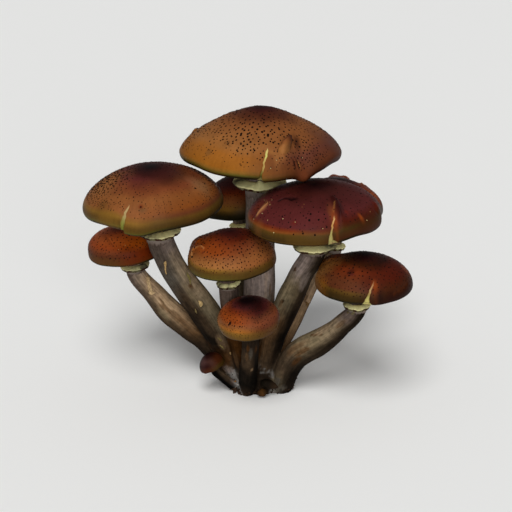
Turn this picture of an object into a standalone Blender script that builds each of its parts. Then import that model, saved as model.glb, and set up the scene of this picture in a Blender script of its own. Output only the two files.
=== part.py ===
"""Honey fungus: a tuft of ten mushrooms that grew from one fused foot, cut off flat where it stood.

Metres, +Z up. The origin is the middle of the cut face, and -Y is the side a viewer faces.
Sizes are written in millimetres and turned to metres by MM.
Angles round a cap are degrees: 0 faces the viewer, and 90 is to the viewer's right.
"""

import math

import bpy
from mathutils import Vector

MM = 0.001
GAP = 0.3  # clearance between neighbouring pieces
WELD = 0.0001  # merge distance of the modifiers, in metres

# The shape that every cap shares, as shares of its own radius
DOME_BANDS = 5  # bands of faces from the top to the widest line
BAND_CROWDING = 0.9  # under 1 sets the bands closer together towards the margin
EDGE_HEIGHT = 0.075  # height of the widest line above the margin's lowest line
MARGIN_RADIUS = 0.955  # radius of the margin's lowest line
GILL_OUTER = 0.87
GILL_MIDDLE = 0.58
UMBO_WIDTH = 0.42
SEAT_LIMIT = 0.5  # the flat seat on the stem is no wider than this
LOBE_REACH = 4  # how strongly a lobe keeps to the margin
# Heights under the cap, as shares of its hollow
OUTER_RISE = 0.3
SEAT_RISE = 0.85
# Gill ridges and the seat, in millimetres
GILL_WAVE = 0.55  # how far a ridge stands out at the margin
GILL_FADE = 1.4  # ridges fade from the middle outwards, to nothing at this share of the radius
SEAT_MARGIN = 1.6  # how much wider than the stem the seat is

SPLIT_DEPTH = 6.0  # how far below the margin the cutter of a split starts
SPLIT_HEADROOM = 8.0  # how far above the cap it ends
SPLIT_OVERRUN = 2.0  # its length, as a multiple of the split's own
FOLD_LEAN = 0.8  # how much of the skin's slope a fold leans by

RING_STEPS = 18
RING_CLEARANCE = 0.55
RING_LIP = 0.9  # how far the ring's upper face falls from its edge to the stem
RING_EDGE = (0.5, 0.8)  # width and height of the edge's chamfer
RING_WAIST = (0.45, 0.62)  # where the flare starts, as shares of the ring's width and height
STEM_SPACING = 7.0  # distance between the cross-sections of a stem
STEM_SIDES = 3  # bevel resolution: ten sides
BARE_NECK = 1.2  # length of a straight neck that carries no ring, in radii
NECK_MARGIN = 1.0  # how far the straight neck runs on below a ring

# One entry for each mushroom.
#   rim      middle of the margin's plane
#   lean     degrees to the right, and towards the viewer
#   radius   of the cap      rise    height of the dome above its widest line
#   umbo     height of the central boss      steps   sides that the cap is turned with
#   slope    1 is an ellipse; more makes the flanks straighter, less makes the shoulders rounder
#   shift    how far the cap's middle sits from its stem, to the right and away from the viewer
#   hollow   how far the gills rise above the margin
#   lobes    (angle, half-width in degrees, lift, reach outwards) of a raised or hanging bit of margin
#   split    (angle at the margin, angle and share of the radius at the inner end, width at the margin)
#   bump     (angle, share of the radius, height over the margin), (half-length, half-width, half-height)
#   stem     (x, y, z, radius) from the ground up to the neck     neck    radius just under the cap
#   ring     (drop below the margin, radius, height)
#   fork     how far up the stem the foot's stub ends
MUSHROOMS = {
    "crown": dict(
        rim=(0.0, 15.0, 117.4), lean=(0.5, 0), radius=40.4, rise=18.2, umbo=4.1, slope=1.45, steps=36,
        shift=(0.2, 0.0), hollow=4.0, split=(1.5, 5.0, 0.84, 3.4), bump=((26, 0.74, 12.4), (5.4, 2.3, 2.2)),
        lobes=[(33, 7, -3.2, -1.0), (-2, 26, -0.6, 0.0), (-54, 18, 1.2, 0.0), (62, 14, 1.8, 0.0)],
        stem=[(-1, 4, -2, 6.0), (-1, 5, 14, 7.0), (-0.8, 7, 30, 7.7), (-0.3, 10, 48, 7.9), (0, 13, 66, 7.6),
              (0, 14.5, 84, 7.2)],
        neck=7.0, ring=(11.5, 13.7, 5.0), fork=30,
    ),
    "left": dict(
        rim=(-50.0, -10.0, 98.6), lean=(-3, 2), radius=34.3, rise=18.0, umbo=0.6, slope=1.15, steps=32,
        shift=(-1.9, 0.0), hollow=4.0, split=(-17.5, -18.0, 0.85, 3.2), bump=None,
        lobes=[(-43, 20, 1.7, 0.0), (-6, 11, -1.8, 0.0)],
        stem=[(-9.5, -0.5, -2, 4.4), (-12.5, -0.8, 6, 4.6), (-16, -1.5, 16, 5.5), (-19.5, -2.2, 25, 6.6),
              (-24, -3, 34.5, 7.3), (-29.5, -4.2, 44.5, 7.5), (-35.5, -6, 54, 7.2), (-41.6, -7.5, 64, 6.7),
              (-45.8, -8.4, 73, 6.5)],
        neck=6.5, ring=(10.4, 10.8, 4.0), fork=31,
    ),
    "red": dict(
        rim=(25.6, -17.5, 94.0), lean=(-3, 2), radius=33.0, rise=16.3, umbo=0.8, slope=1.05, steps=32,
        shift=(1.0, -0.5), hollow=3.5, split=(10.5, 27.0, 0.62, 3.2),
        bump=((34, 0.64, 12.8), (6.0, 2.1, 1.7)),
        lobes=[(36, 15, 1.6, 0.0), (84, 9, 1.5, -1.0)],
        stem=[(1.5, -3.5, -2, 5.2), (2.6, -4, 8, 5.3), (4.1, -4.5, 17, 5.5), (6.4, -5.5, 28, 6.0),
              (9.8, -6.8, 37.7, 6.4), (14, -8.4, 48.4, 6.5), (17.9, -10, 58.1, 6.2),
              (21.0, -11.8, 66.4, 5.8)],
        neck=5.7, ring=(10.5, 10.4, 4.0), fork=32,
    ),
    "right": dict(
        rim=(46.9, -28.4, 64.9), lean=(0, 2), radius=23.6, rise=13.4, umbo=1.6, slope=1.05, steps=28,
        shift=(3.2, 0.0), hollow=3.0, split=(3.5, 11.0, 0.78, 2.8), bump=None,
        lobes=[(-127, 13, 5.0, 0.0)],
        stem=[(9.2, -6.5, -2, 5.4), (11.4, -7.6, 5, 5.9), (14, -9, 12.5, 6.2), (17.6, -10.8, 19.5, 6.7),
              (22.4, -12.9, 24.6, 7.0), (28.5, -15.4, 29.2, 6.7), (34.6, -19.0, 35.2, 5.8),
              (39.6, -22.6, 41.5, 5.1)],
        neck=4.6, ring=(8.8, 6.8, 3.0), fork=24,
    ),
    "middle": dict(
        rim=(-16.3, -16.5, 71.9), lean=(-4, 4), radius=21.7, rise=14.4, umbo=1.3, slope=0.88, steps=28,
        shift=(2.7, 0.0), hollow=2.6, split=None, bump=None,
        lobes=[(-118, 13, 3.2, 0.6)],
        stem=[(-8, -5, -2, 3.4), (-9, -6.5, 12, 3.7), (-11.4, -11.0, 27, 4.3), (-14.2, -12.4, 42, 4.7)],
        neck=4.7, ring=(10.0, 6.2, 3.0), fork=28,
    ),
    "front": dict(
        rim=(-5.2, -33.5, 45.5), lean=(-5, 8), radius=15.4, rise=13.2, umbo=1.2, slope=0.7, steps=20,
        shift=(0.0, 0.0), hollow=0.6, split=None, bump=None, lobes=[],
        stem=[(-6.7, -11.2, -1, 2.8), (-6.4, -13.6, 5, 4.2), (-6.0, -17, 12.6, 4.5), (-5.1, -23, 23.6, 4.3)],
        neck=4.2, ring=None, fork=11,
    ),
    "low": dict(
        rim=(-64.4, 12.0, 67.9), lean=(-5, 3), radius=19.3, rise=11.8, umbo=0.9, slope=0.65, steps=24,
        shift=(-3.3, 0.0), hollow=2.0, split=None, bump=None, lobes=[],
        stem=[(-8.5, 3, -2, 4.4), (-15, 3.6, 5, 4.7), (-21, 4.6, 12.5, 5.0), (-28.2, 6.0, 21, 5.2),
              (-36.9, 6.2, 29, 6.0), (-46.5, 8, 37.3, 6.4), (-54.8, 9.8, 46.8, 5.3)],
        neck=4.7, ring=(7.2, 7.7, 3.0), fork=34,
    ),
    "rear_left": dict(
        rim=(-10.8, 43.5, 79.5), lean=(-4, -4), radius=21.0, rise=17.0, umbo=1.0, slope=1.0, steps=24,
        shift=(0.8, 0.0), hollow=2.4, split=None, bump=None, lobes=[],
        stem=[(-4, 9, -2, 3.8), (-4.4, 13.5, 12, 3.9), (-6.2, 23, 32, 4.0), (-8.6, 35, 54, 4.0)],
        neck=3.8, ring=(6.5, 6.0, 3.2), fork=24,
    ),
    "rear_right": dict(
        rim=(40.3, 43.0, 80.0), lean=(4, -3), radius=25.0, rise=14.0, umbo=0.8, slope=1.0, steps=32,
        shift=(-0.8, 0.0), hollow=3.0, split=None, bump=None,
        lobes=[(176, 18, 8.5, 0.6)],
        stem=[(6.5, 7, -2, 3.9), (8.8, 9.5, 12, 4.0), (13.6, 14, 21.2, 4.1), (18.4, 20, 29.4, 4.2),
              (22.5, 25, 36.6, 4.2), (27.8, 31, 45, 4.2), (34.0, 37, 52.6, 4.2)],
        neck=4.1, ring=(18.0, 6.6, 3.6), fork=25,
    ),
    "tiny": dict(
        rim=(-23.7, -12.6, 15.7), lean=(-24, 4), radius=6.8, rise=6.3, umbo=0.6, slope=1.1, steps=14,
        shift=(0.0, 0.0), hollow=0.6, split=None, bump=None, lobes=[],
        stem=[(-11.5, -7.0, 0.8, 2.4), (-15.4, -9.4, 4.8, 2.4)],
        neck=2.3, ring=None, fork=4,
    ),
}

# The foot: (radius, height) down its outer side, and how it is stretched and placed
FOOT_OUTLINE = [
    (0.0, 17.0), (6.5, 16.0), (11.0, 12.5), (13.6, 8.0),
    (14.0, 4.0), (12.9, 0.8), (12.5, -3.0), (0.0, -3.0),
]
FOOT_CENTRE = (-0.3, 0.5, 0.0)
FOOT_STRETCH = (1.0, 1.06)  # across the view, and along it
FOOT_STEPS = 20
FOOT_LUMPS = ((3, 0.7, 0.045), (5, 2.1, 0.03))  # (waves round, phase, share of the radius)
GROUND_SIZE = (200.0, 200.0, 20.0)  # the block that cuts the foot off flat, with its top face at the ground

# Buds that never opened, pressed against the foot:
# middle, half-sizes (length, depth, height) and tilt to the right
BUDS = {
    "bud_dark": ((4.4, -16.6, 7.2), (4.4, 2.6, 2.5), 18),
    "bud_pale": ((1.4, -17.3, 3.0), (2.9, 2.2, 2.0), -14),
}

CAP_COLOURS = {
    "crown": (0.30, 0.13, 0.035),
    "left": (0.22, 0.085, 0.03),
    "red": (0.13, 0.025, 0.018),
    "right": (0.13, 0.03, 0.012),
    "middle": (0.24, 0.085, 0.028),
    "front": (0.22, 0.075, 0.03),
    "low": (0.20, 0.055, 0.012),
    "rear_left": (0.15, 0.04, 0.015),
    "rear_right": (0.20, 0.06, 0.02),
    "tiny": (0.10, 0.04, 0.02),
}
STEM_COLOUR = (0.13, 0.10, 0.075)
RING_COLOUR = (0.42, 0.40, 0.20)
FOOT_COLOUR = (0.06, 0.045, 0.032)
BUD_COLOUR = (0.07, 0.035, 0.015)


def clear_scene():
    for old in list(bpy.data.objects):
        bpy.data.objects.remove(old, do_unlink=True)


def new_collection(name):
    made = bpy.data.collections.new(name)
    bpy.context.scene.collection.children.link(made)
    return made


def flesh(name, colour, roughness):
    """A plain matt or moist surface."""
    material = bpy.data.materials.new(name)
    material.use_nodes = True
    shader = material.node_tree.nodes["Principled BSDF"]
    shader.inputs["Base Color"].default_value = (*colour, 1.0)
    shader.inputs["Roughness"].default_value = roughness
    shader.inputs["Metallic"].default_value = 0.0
    return material


def metres(point):
    return Vector(point[:3]) * MM


def direction(lean):
    """Unit vector along a stem's top: straight up, leaned to the right and then towards the viewer."""
    right, forward = (math.radians(a) for a in lean)
    across = math.sin(right) * math.cos(forward)
    up = math.cos(right) * math.cos(forward)
    return Vector((across, -math.sin(forward), up))


def turned(name, outline, steps, collection):
    """The outline, (radius, height) in millimetres down the outer side, turned once round Z."""
    mesh = bpy.data.meshes.new(name)
    points = [(r * MM, 0.0, z * MM) for r, z in outline]
    closed = outline[0][0] > 0
    edges = [(i, i + 1) for i in range(len(points) - 1)]
    if closed:
        edges.append((len(points) - 1, 0))
    mesh.from_pydata(points, edges, [])
    piece = bpy.data.objects.new(name, mesh)
    collection.objects.link(piece)
    screw = piece.modifiers.new("turn", "SCREW")
    screw.steps = steps
    screw.render_steps = steps
    screw.use_merge_vertices = True
    screw.merge_threshold = WELD
    return piece


def settle(piece):
    """Replaces a piece's modifiers, or its curve, by the mesh they make."""
    graph = bpy.context.evaluated_depsgraph_get()
    mesh = bpy.data.meshes.new_from_object(piece.evaluated_get(graph))
    if piece.type == "MESH":
        piece.modifiers.clear()
        piece.data = mesh
        return piece
    name, collection = piece.name, piece.users_collection[0]
    made = bpy.data.objects.new(name, mesh)
    made.matrix_world = piece.matrix_world
    bpy.data.objects.remove(piece, do_unlink=True)
    made.name = name
    collection.objects.link(made)
    weld = made.modifiers.new("close the ends", "WELD")
    weld.merge_threshold = WELD / 10
    return settle(made)


def cap_outline(cap):
    """(radius, height) above the margin's plane, from the top down the outer side and in over the gills."""
    radius, rise = cap["radius"], cap["rise"]
    edge = EDGE_HEIGHT * radius
    outline = []
    for band in range(DOME_BANDS + 1):
        turn = math.pi / 2 * (band / DOME_BANDS) ** BAND_CROWDING
        r = radius * math.sin(turn)
        boss = cap["umbo"] * math.exp(-((r / (UMBO_WIDTH * radius)) ** 2))
        outline.append((r, edge + rise * math.cos(turn) ** cap["slope"] + boss))
    seat = cap["neck"] + SEAT_MARGIN + math.hypot(*cap["shift"])
    outline += [
        (MARGIN_RADIUS * radius, 0.0),
        (GILL_OUTER * radius, OUTER_RISE * cap["hollow"]),
        (GILL_MIDDLE * radius, cap["hollow"]),
        (min(seat, SEAT_LIMIT * radius), seat_height(cap)),
        (0.0, seat_height(cap)),
    ]
    return outline


def seat_height(cap):
    """Height above the margin's plane of the flat face that sits on the stem."""
    return SEAT_RISE * cap["hollow"]


def angle_round(x, y):
    """Degrees round a cap: 0 towards the viewer, 90 to the right."""
    return math.degrees(math.atan2(x, -y))


def apart(a, b):
    """Signed difference of two angles in degrees, from -180 to 180."""
    return (a - b + 180) % 360 - 180


def shape_cap(piece, cap):
    """Raises the gill ridges and moves the margin's lobes."""
    radius = cap["radius"] * MM
    step = 360 / cap["steps"]
    slack = 0.01  # tolerance for finding the gills' two rows of corners
    for vertex in piece.data.vertices:
        x, y, z = vertex.co
        share = math.hypot(x, y) / radius
        around = angle_round(x, y)
        below = z < (1 + slack) * cap["hollow"] * MM
        if below and GILL_MIDDLE - slack < share < GILL_OUTER + slack:
            side = 1 if round(around / step) % 2 else -1
            vertex.co.z += side * GILL_WAVE * MM * (GILL_FADE - share)
        for middle, width, lift, reach in cap["lobes"]:
            weight = math.exp(-((apart(around, middle) / width) ** 2)) * share**LOBE_REACH
            vertex.co.z += lift * MM * weight
            vertex.co.x *= 1 + reach * MM / radius * weight
            vertex.co.y *= 1 + reach * MM / radius * weight
        vertex.co.x += cap["shift"][0] * MM
        vertex.co.y += cap["shift"][1] * MM


def on_cap(cap, angle, share, height):
    """A place in the cap's own frame, in millimetres."""
    r = cap["radius"] * share
    turn = math.radians(angle)
    return Vector((r * math.sin(turn) + cap["shift"][0], -r * math.cos(turn) + cap["shift"][1], height))


def split_cap(piece, cap, cutters):
    """Cuts a narrow wedge out of the margin, where the cap has torn as it spread."""
    outer_angle, inner_angle, inner_share, width = cap["split"]
    outer = on_cap(cap, outer_angle, 1.0, 0.0)
    inner = on_cap(cap, inner_angle, inner_share, 0.0)
    run = outer - inner
    top = cap["rise"] + cap["umbo"] + SPLIT_HEADROOM
    # a three-sided bar of radius 1 has its tip at 1, its flat side at -0.5 and corners at 0.5 * sqrt(3)
    bpy.ops.mesh.primitive_cylinder_add(vertices=3, radius=MM, depth=MM)
    wedge = bpy.context.object
    wedge.name = f"{piece.name} split"
    move_to(wedge, cutters)
    wedge.parent = piece.parent
    tip_reach = run.length * SPLIT_OVERRUN / 1.5
    wedge.scale = (width / (0.5 * math.sqrt(3)), tip_reach, top + SPLIT_DEPTH)
    wedge.rotation_euler.z = math.atan2(run.x, -run.y)
    middle = inner + run.normalized() * tip_reach
    wedge.location = metres((middle.x, middle.y, (top - SPLIT_DEPTH) / 2))
    combine(piece, wedge, "DIFFERENCE")


def raise_bump(piece, cap, cutters):
    """Adds the blunt fold that stands on the skin, pointing at the cap's middle."""
    (angle, share, height), half = cap["bump"]
    bpy.ops.mesh.primitive_uv_sphere_add(segments=10, ring_count=6, radius=MM)
    fold = bpy.context.object
    fold.name = f"{piece.name} fold"
    move_to(fold, cutters)
    fold.parent = piece.parent
    fold.location = on_cap(cap, angle, share, height) * MM
    fold.rotation_euler = (0.0, math.asin(share) * FOLD_LEAN, math.radians(angle) - math.pi / 2)
    fold.scale = half
    combine(piece, fold, "UNION")


def move_to(piece, collection):
    for old in list(piece.users_collection):
        old.objects.unlink(piece)
    collection.objects.link(piece)


def combine(piece, other, operation):
    """Joins the other shape to the piece, or cuts it out, and keeps it as a guide that isn't built."""
    change = piece.modifiers.new(other.name, "BOOLEAN")
    change.operation = operation
    change.object = other
    other.hide_render = True
    other.display_type = "WIRE"


def make_cap(name, cap, anchor, parts, cutters):
    piece = turned(f"cap_{name}", cap_outline(cap), cap["steps"], parts)
    settle(piece)
    shape_cap(piece, cap)
    piece.parent = anchor
    if cap["bump"]:
        raise_bump(piece, cap, cutters)
    if cap["split"]:
        split_cap(piece, cap, cutters)
    piece.data.materials.append(flesh(f"skin {name}", CAP_COLOURS[name], 0.45))
    smooth(piece)
    return piece


def make_ring(name, cap, anchor, parts, material):
    """The skirt that the veil leaves on the stem, flared upwards."""
    drop, radius, height = cap["ring"]
    inner = cap["neck"] + RING_CLEARANCE
    waist_width, waist_drop = RING_WAIST
    edge_width, edge_drop = RING_EDGE
    outline = [
        (inner, -drop - RING_LIP),
        (radius - edge_width, -drop),
        (radius, -drop - edge_drop),
        (inner + waist_width * (radius - inner), -drop - waist_drop * height),
        (inner, -drop - height),
    ]
    piece = turned(f"ring_{name}", outline, RING_STEPS, parts)
    piece.parent = anchor
    piece.data.materials.append(material)
    smooth(settle(piece))
    return piece


def smooth(piece):
    piece.data.shade_smooth()
    piece.data.set_sharp_from_angle(angle=math.radians(50))


def blended(a, b, c, d, t):
    """A point of the Catmull-Rom curve from b to c."""
    return 0.5 * (2 * b + (c - a) * t + (2 * a - 5 * b + 4 * c - d) * t**2 + (3 * b - a - 3 * c + d) * t**3)


def stem_route(cap):
    """[(point, radius)] in millimetres from the ground to the cap, close enough to look bent."""
    axis = direction(cap["lean"])
    rim = Vector(cap["rim"])
    top = seat_height(cap) - GAP
    below = NECK_MARGIN + BARE_NECK * cap["neck"]
    if cap["ring"]:
        drop, _, height = cap["ring"]
        below = NECK_MARGIN + drop + height
    neck = rim - axis * below
    bent = [Vector(point) for point in cap["stem"]]
    bent.append(Vector((*neck, cap["neck"])))
    bent = [2 * bent[0] - bent[1], *bent, Vector((*(neck + axis * below), cap["neck"]))]
    route = []
    for a, b, c, d in zip(bent, bent[1:], bent[2:], bent[3:]):
        pieces = max(1, round((c - b).to_3d().length / STEM_SPACING))
        route += [blended(a, b, c, d, i / pieces) for i in range(pieces)]
    route.append(Vector((*neck, cap["neck"])))
    route.append(Vector((*(rim + axis * top), cap["neck"])))
    return [(point.to_3d(), point[3]) for point in route]


def divided(route, distance):
    """The route below and above a fork, GAP apart, cut square across the middle of the stretch there."""
    travelled = 0.0
    for i in range(1, len(route)):
        (a, radius_a), (b, radius_b) = route[i - 1], route[i]
        travelled += (b - a).length
        if travelled > distance:
            middle = (a + b) / 2
            half_gap = (b - a).normalized() * GAP / 2
            radius = (radius_a + radius_b) / 2
            below = [*route[:i], (middle - half_gap, radius)]
            above = [(middle + half_gap, radius), *route[i:]]
            return below, above
    raise ValueError("the fork lies beyond the stem's end")


def tube(name, route, collection):
    """A curve through the route, round and closed at both ends."""
    curve = bpy.data.curves.new(name, "CURVE")
    curve.dimensions = "3D"
    curve.bevel_depth = MM
    curve.bevel_resolution = STEM_SIDES
    curve.use_fill_caps = True
    line = curve.splines.new("POLY")
    line.points.add(len(route) - 1)
    for point, (place, radius) in zip(line.points, route):
        point.co = (*metres(place), 1.0)
        point.radius = radius
    made = bpy.data.objects.new(name, curve)
    collection.objects.link(made)
    return made


def make_foot(stubs, parts, cutters, material):
    """The lump where the stems run together, joined with their lowest stretches and cut off flat."""
    foot = turned("foot", FOOT_OUTLINE, FOOT_STEPS, parts)
    settle(foot)
    for vertex in foot.data.vertices:
        around = math.atan2(vertex.co.y, vertex.co.x)
        swell = 1 + sum(size * math.sin(waves * around + phase) for waves, phase, size in FOOT_LUMPS)
        vertex.co.x *= swell * FOOT_STRETCH[0]
        vertex.co.y *= swell * FOOT_STRETCH[1]
    foot.location = metres(FOOT_CENTRE)
    for stub in stubs:
        combine(foot, stub, "UNION")
    bpy.ops.mesh.primitive_cube_add(size=MM)
    ground = bpy.context.object
    ground.name = "ground"
    ground.scale = GROUND_SIZE
    ground.location = metres((0.0, 0.0, -GROUND_SIZE[2] / 2))
    move_to(ground, cutters)
    combine(foot, ground, "DIFFERENCE")
    foot.data.materials.append(material)
    smooth(foot)
    return foot


def make_bud(name, place, half, tilt, parts, material):
    bpy.ops.mesh.primitive_uv_sphere_add(segments=10, ring_count=6, radius=MM)
    bud = bpy.context.object
    bud.name = name
    bud.data.name = name
    bud.scale = half
    bud.location = metres(place)
    bud.rotation_euler.y = math.radians(tilt)
    move_to(bud, parts)
    bud.data.materials.append(material)
    smooth(bud)
    return bud


def main():
    clear_scene()
    parts = new_collection("honey fungus")
    cutters = new_collection("cutters")
    skirt = flesh("veil", RING_COLOUR, 0.7)
    stalk = flesh("stem flesh", STEM_COLOUR, 0.75)
    base = flesh("foot flesh", FOOT_COLOUR, 0.9)
    bud_skin = flesh("bud skin", BUD_COLOUR, 0.6)
    stubs = []
    for name, cap in MUSHROOMS.items():
        anchor = bpy.data.objects.new(f"mushroom {name}", None)
        parts.objects.link(anchor)
        anchor.location = metres(cap["rim"])
        right, forward = cap["lean"]
        anchor.rotation_euler = (math.radians(forward), math.radians(right), 0.0)
        make_cap(name, cap, anchor, parts, cutters)
        if cap["ring"]:
            make_ring(name, cap, anchor, parts, skirt)
        lower, upper = divided(stem_route(cap), cap["fork"])
        stem = tube(f"stem_{name}", upper, parts)
        stem.data.materials.append(stalk)
        stubs.append(settle(tube(f"stub {name}", lower, cutters)))
    make_foot(stubs, parts, cutters, base)
    for name, (place, half, tilt) in BUDS.items():
        make_bud(name, place, half, tilt, parts, bud_skin)


main()
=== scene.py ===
# %% [markdown]
# # A tuft of honey fungus
# Ten mushrooms grew from one fused foot, which is cut off flat. Their moist caps run from plum through rust
# and amber to an olive rim, and carry small dark scales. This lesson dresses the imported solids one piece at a
# time: caps with gills, scales, ragged rings, fibrous stems, and the foot with its mould and crumbs of soil.

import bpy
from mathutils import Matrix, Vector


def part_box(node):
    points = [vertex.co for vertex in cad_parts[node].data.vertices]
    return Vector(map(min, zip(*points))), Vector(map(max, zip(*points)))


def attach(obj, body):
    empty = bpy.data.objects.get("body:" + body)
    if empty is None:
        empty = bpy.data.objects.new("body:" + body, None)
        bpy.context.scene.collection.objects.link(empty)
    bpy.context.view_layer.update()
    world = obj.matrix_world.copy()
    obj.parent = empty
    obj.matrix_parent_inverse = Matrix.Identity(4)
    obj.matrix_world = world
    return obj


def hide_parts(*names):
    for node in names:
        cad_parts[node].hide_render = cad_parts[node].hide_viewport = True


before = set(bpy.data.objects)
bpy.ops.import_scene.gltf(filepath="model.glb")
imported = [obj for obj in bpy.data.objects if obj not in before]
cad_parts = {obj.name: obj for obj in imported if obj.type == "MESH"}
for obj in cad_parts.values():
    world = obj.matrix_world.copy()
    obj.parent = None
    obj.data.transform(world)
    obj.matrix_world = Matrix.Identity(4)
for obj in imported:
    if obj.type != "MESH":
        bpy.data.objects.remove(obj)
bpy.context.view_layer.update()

# %% Other modules and units
import random
from math import atan2, cos, degrees, exp, hypot, inf, pi, radians, sin, sqrt, tau

import bmesh
import bpy
from mathutils import Euler, Matrix, Vector, noise
from mathutils.bvhtree import BVHTree

MM = 0.001  # the script's own sizes are in millimetres, and the meshes in metres
PICTURE_SIDE = 512  # pixels across the photograph

# %% [markdown]
# ## Camera
# The caps' ellipses fit a camera that looks down by 20 degrees from 0.75 m. At that distance one pixel covers
# half a millimetre of the tuft.

# %% Camera
CAMERA_TARGET = Vector((-0.002, 0.0, 0.070))
CAMERA_DISTANCE = 0.750
CAMERA_ELEVATION = radians(20.0)
PIXEL_SIZE = 0.5 * MM

camera_data = bpy.data.cameras.new("camera")
camera_data.sensor_width = 36.0
camera_data.lens = camera_data.sensor_width * CAMERA_DISTANCE / (PICTURE_SIDE * PIXEL_SIZE)
camera = bpy.data.objects.new("camera", camera_data)
camera.location = CAMERA_TARGET + CAMERA_DISTANCE * Vector(
    (0.0, -cos(CAMERA_ELEVATION), sin(CAMERA_ELEVATION))
)
camera.rotation_euler = (pi / 2 - CAMERA_ELEVATION, 0.0, 0.0)
bpy.context.scene.collection.objects.link(camera)
bpy.context.scene.camera = camera
print("lens:", round(camera_data.lens, 1), "mm")

# %% [markdown]
# ## Colours and nodes
# Hex colours are what a screen shows. A shader works with linear light, so one function turns them. Another
# adds a node, sets it up and links what feeds it, so that each material below reads as a list of its layers.

# %% Colour and node helpers
def linear(code):
    """An sRGB hex colour as linear RGBA."""
    parts = [int(code[i : i + 2], 16) / 255 for i in (1, 3, 5)]
    return (*[p / 12.92 if p <= 0.04045 else ((p + 0.055) / 1.055) ** 2.4 for p in parts], 1.0)


def feed(tree, made, inputs):
    """Sets a node's sockets to values, or links them to the sockets that feed them."""
    for key, value in inputs.items():
        if isinstance(value, bpy.types.NodeSocket):
            tree.links.new(value, made.inputs[key])
        else:
            made.inputs[key].default_value = value


def node(tree, kind, inputs=None, stops=None, **settings):
    """Adds a node of type ShaderNode plus kind. feed takes its inputs, and stops fill a colour ramp."""
    made = tree.nodes.new(f"ShaderNode{kind}")
    for key, value in settings.items():
        setattr(made, key, value)
    feed(tree, made, inputs or {})
    if stops:
        ramp = made.color_ramp
        while len(ramp.elements) < len(stops):
            ramp.elements.new(0.5)
        for element, (place, colour) in zip(ramp.elements, stops):
            element.position = place
            element.color = colour
    return made


def new_material(name):
    """A new material with its node tree and its shader."""
    material = bpy.data.materials.new(name)
    material.use_nodes = True
    tree = material.node_tree
    return material, tree, tree.nodes["Principled BSDF"]


FACTOR, FIRST, SECOND, MIXED = 0, 6, 7, 2  # the colour sockets of a Mix node

# %% [markdown]
# ## Stage and light
# A pale matt floor, a broad soft key light from above the camera, and a weak low light from the front that
# reaches the rings and stems under the caps. The world fills the rest. Suns light the floor evenly, where a
# small lamp would leave a bright pool.

# %% Stage and light
FLOOR_SIDE = 8.0  # metres, wide enough to fill the picture behind the tuft

floor_material, tree, shader = new_material("matt white paper")
feed(tree, shader, {"Base Color": linear("#f2f2f0"), "Roughness": 0.9})
bm = bmesh.new()
bmesh.ops.create_grid(bm, x_segments=1, y_segments=1, size=FLOOR_SIDE / 2)
floor_mesh = bpy.data.meshes.new("floor")
bm.to_mesh(floor_mesh)
bm.free()
floor_mesh.materials.append(floor_material)
floor = bpy.data.objects.new("floor", floor_mesh)
bpy.context.scene.collection.objects.link(floor)


def soft_sun(name, energy, width, height, side):
    """A sun of that angular width, height degrees above the horizon and side degrees to the right."""
    data = bpy.data.lights.new(name, "SUN")
    data.energy = energy
    data.angle = radians(width)
    sun = bpy.data.objects.new(name, data)
    sun.rotation_euler = (radians(90.0 - height), 0.0, radians(side))
    bpy.context.scene.collection.objects.link(sun)


soft_sun("key from above", energy=2.0, width=30.0, height=52.0, side=-8.0)
soft_sun("fill from the front", energy=1.55, width=36.0, height=17.0, side=5.0)

world = bpy.data.worlds.new("soft grey room")
world.use_nodes = True
background = world.node_tree.nodes["Background"]
feed(world.node_tree, background, {"Color": linear("#f4f5f7"), "Strength": 0.26})
bpy.context.scene.world = world
bpy.context.scene.view_settings.view_transform = "Standard"
print("stage and light are set")

# %% [markdown]
# ## The mushrooms' own sizes
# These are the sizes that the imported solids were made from, in millimetres, so a dressed piece lies where its
# solid lies. Angles round a cap are degrees: 0 faces the viewer and 90 is to the viewer's right. A share is a
# part of the cap's radius, and a mark is a fold, blister or dimple at (angle, share) with its half-length
# along the radius, half-width, height and turn.

# %% Named pigments
# A moist skin gives back less light than its dry pigment, least of all in blue
SKIN_DEPTH = (0.75, 0.64, 0.50)


def deep(code):
    """An sRGB hex colour as a moist skin shows it, in linear RGBA."""
    return (*[part * depth for part, depth in zip(linear(code), SKIN_DEPTH)], 1.0)


PIGMENT = {
    "black plum": "#0d0407", "dark plum": "#240b0d", "plum": "#3b1614", "maroon": "#4a1f21",
    "wine": "#58262a", "rust": "#6f3017", "orange rust": "#8b451b", "bark": "#5b3320", "tan": "#865632",
    "pale tan": "#9c6d40", "gold": "#9c662a", "amber": "#93601f", "olive gold": "#7d6029", "olive": "#55411a",
    "dark olive": "#3a2c10", "purple brown": "#633a30", "ember": "#702c08", "umber": "#41200f",
    "ember glow": "#94481a", "peach": "#bd8a4e", "blood": "#662014", "smoke": "#5f4c34", "haze": "#8a7a62",
    "lilac brown": "#5a4248", "painted rim shade": "#1f1d0a", "moss": "#5c5a26", "dark umber": "#26100a",
    "cinnamon": "#78422a", "copper": "#a04e26", "bright peach": "#e2ac74", "copper glow": "#c86a32",
    "burnt orange": "#bb5f14", "sienna": "#7c4820", "oxblood": "#4c1a0e", "dusk": "#3e2a2c",
}

# %% [markdown]
# A rim is the middle of the margin's plane, and a lean its tilt to the right and to the viewer. The rise is
# the dome's height over the margin, the umbo a boss on top, the slope how steep the dome falls, the shift
# its offset and the hollow the room below it. A lobe is (angle, half-width in degrees, lift, reach
# outwards). A tuck is (height, share): the skin below that height draws in by up to that share, as on a
# button. A crack runs from the angle inner, at the share start, to the angle outer at the margin, where it
# opens to a notch. Its drop moves the skin on its left and right, its lips are (run, left, right)
# half-widths, and its flesh is (run, colour). A stem is (x, y, z, radius) from the ground up, a neck its
# radius at the top, a ring (drop below the margin, radius, height), and a fork the distance along the stem
# at which it leaves the foot.

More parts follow.
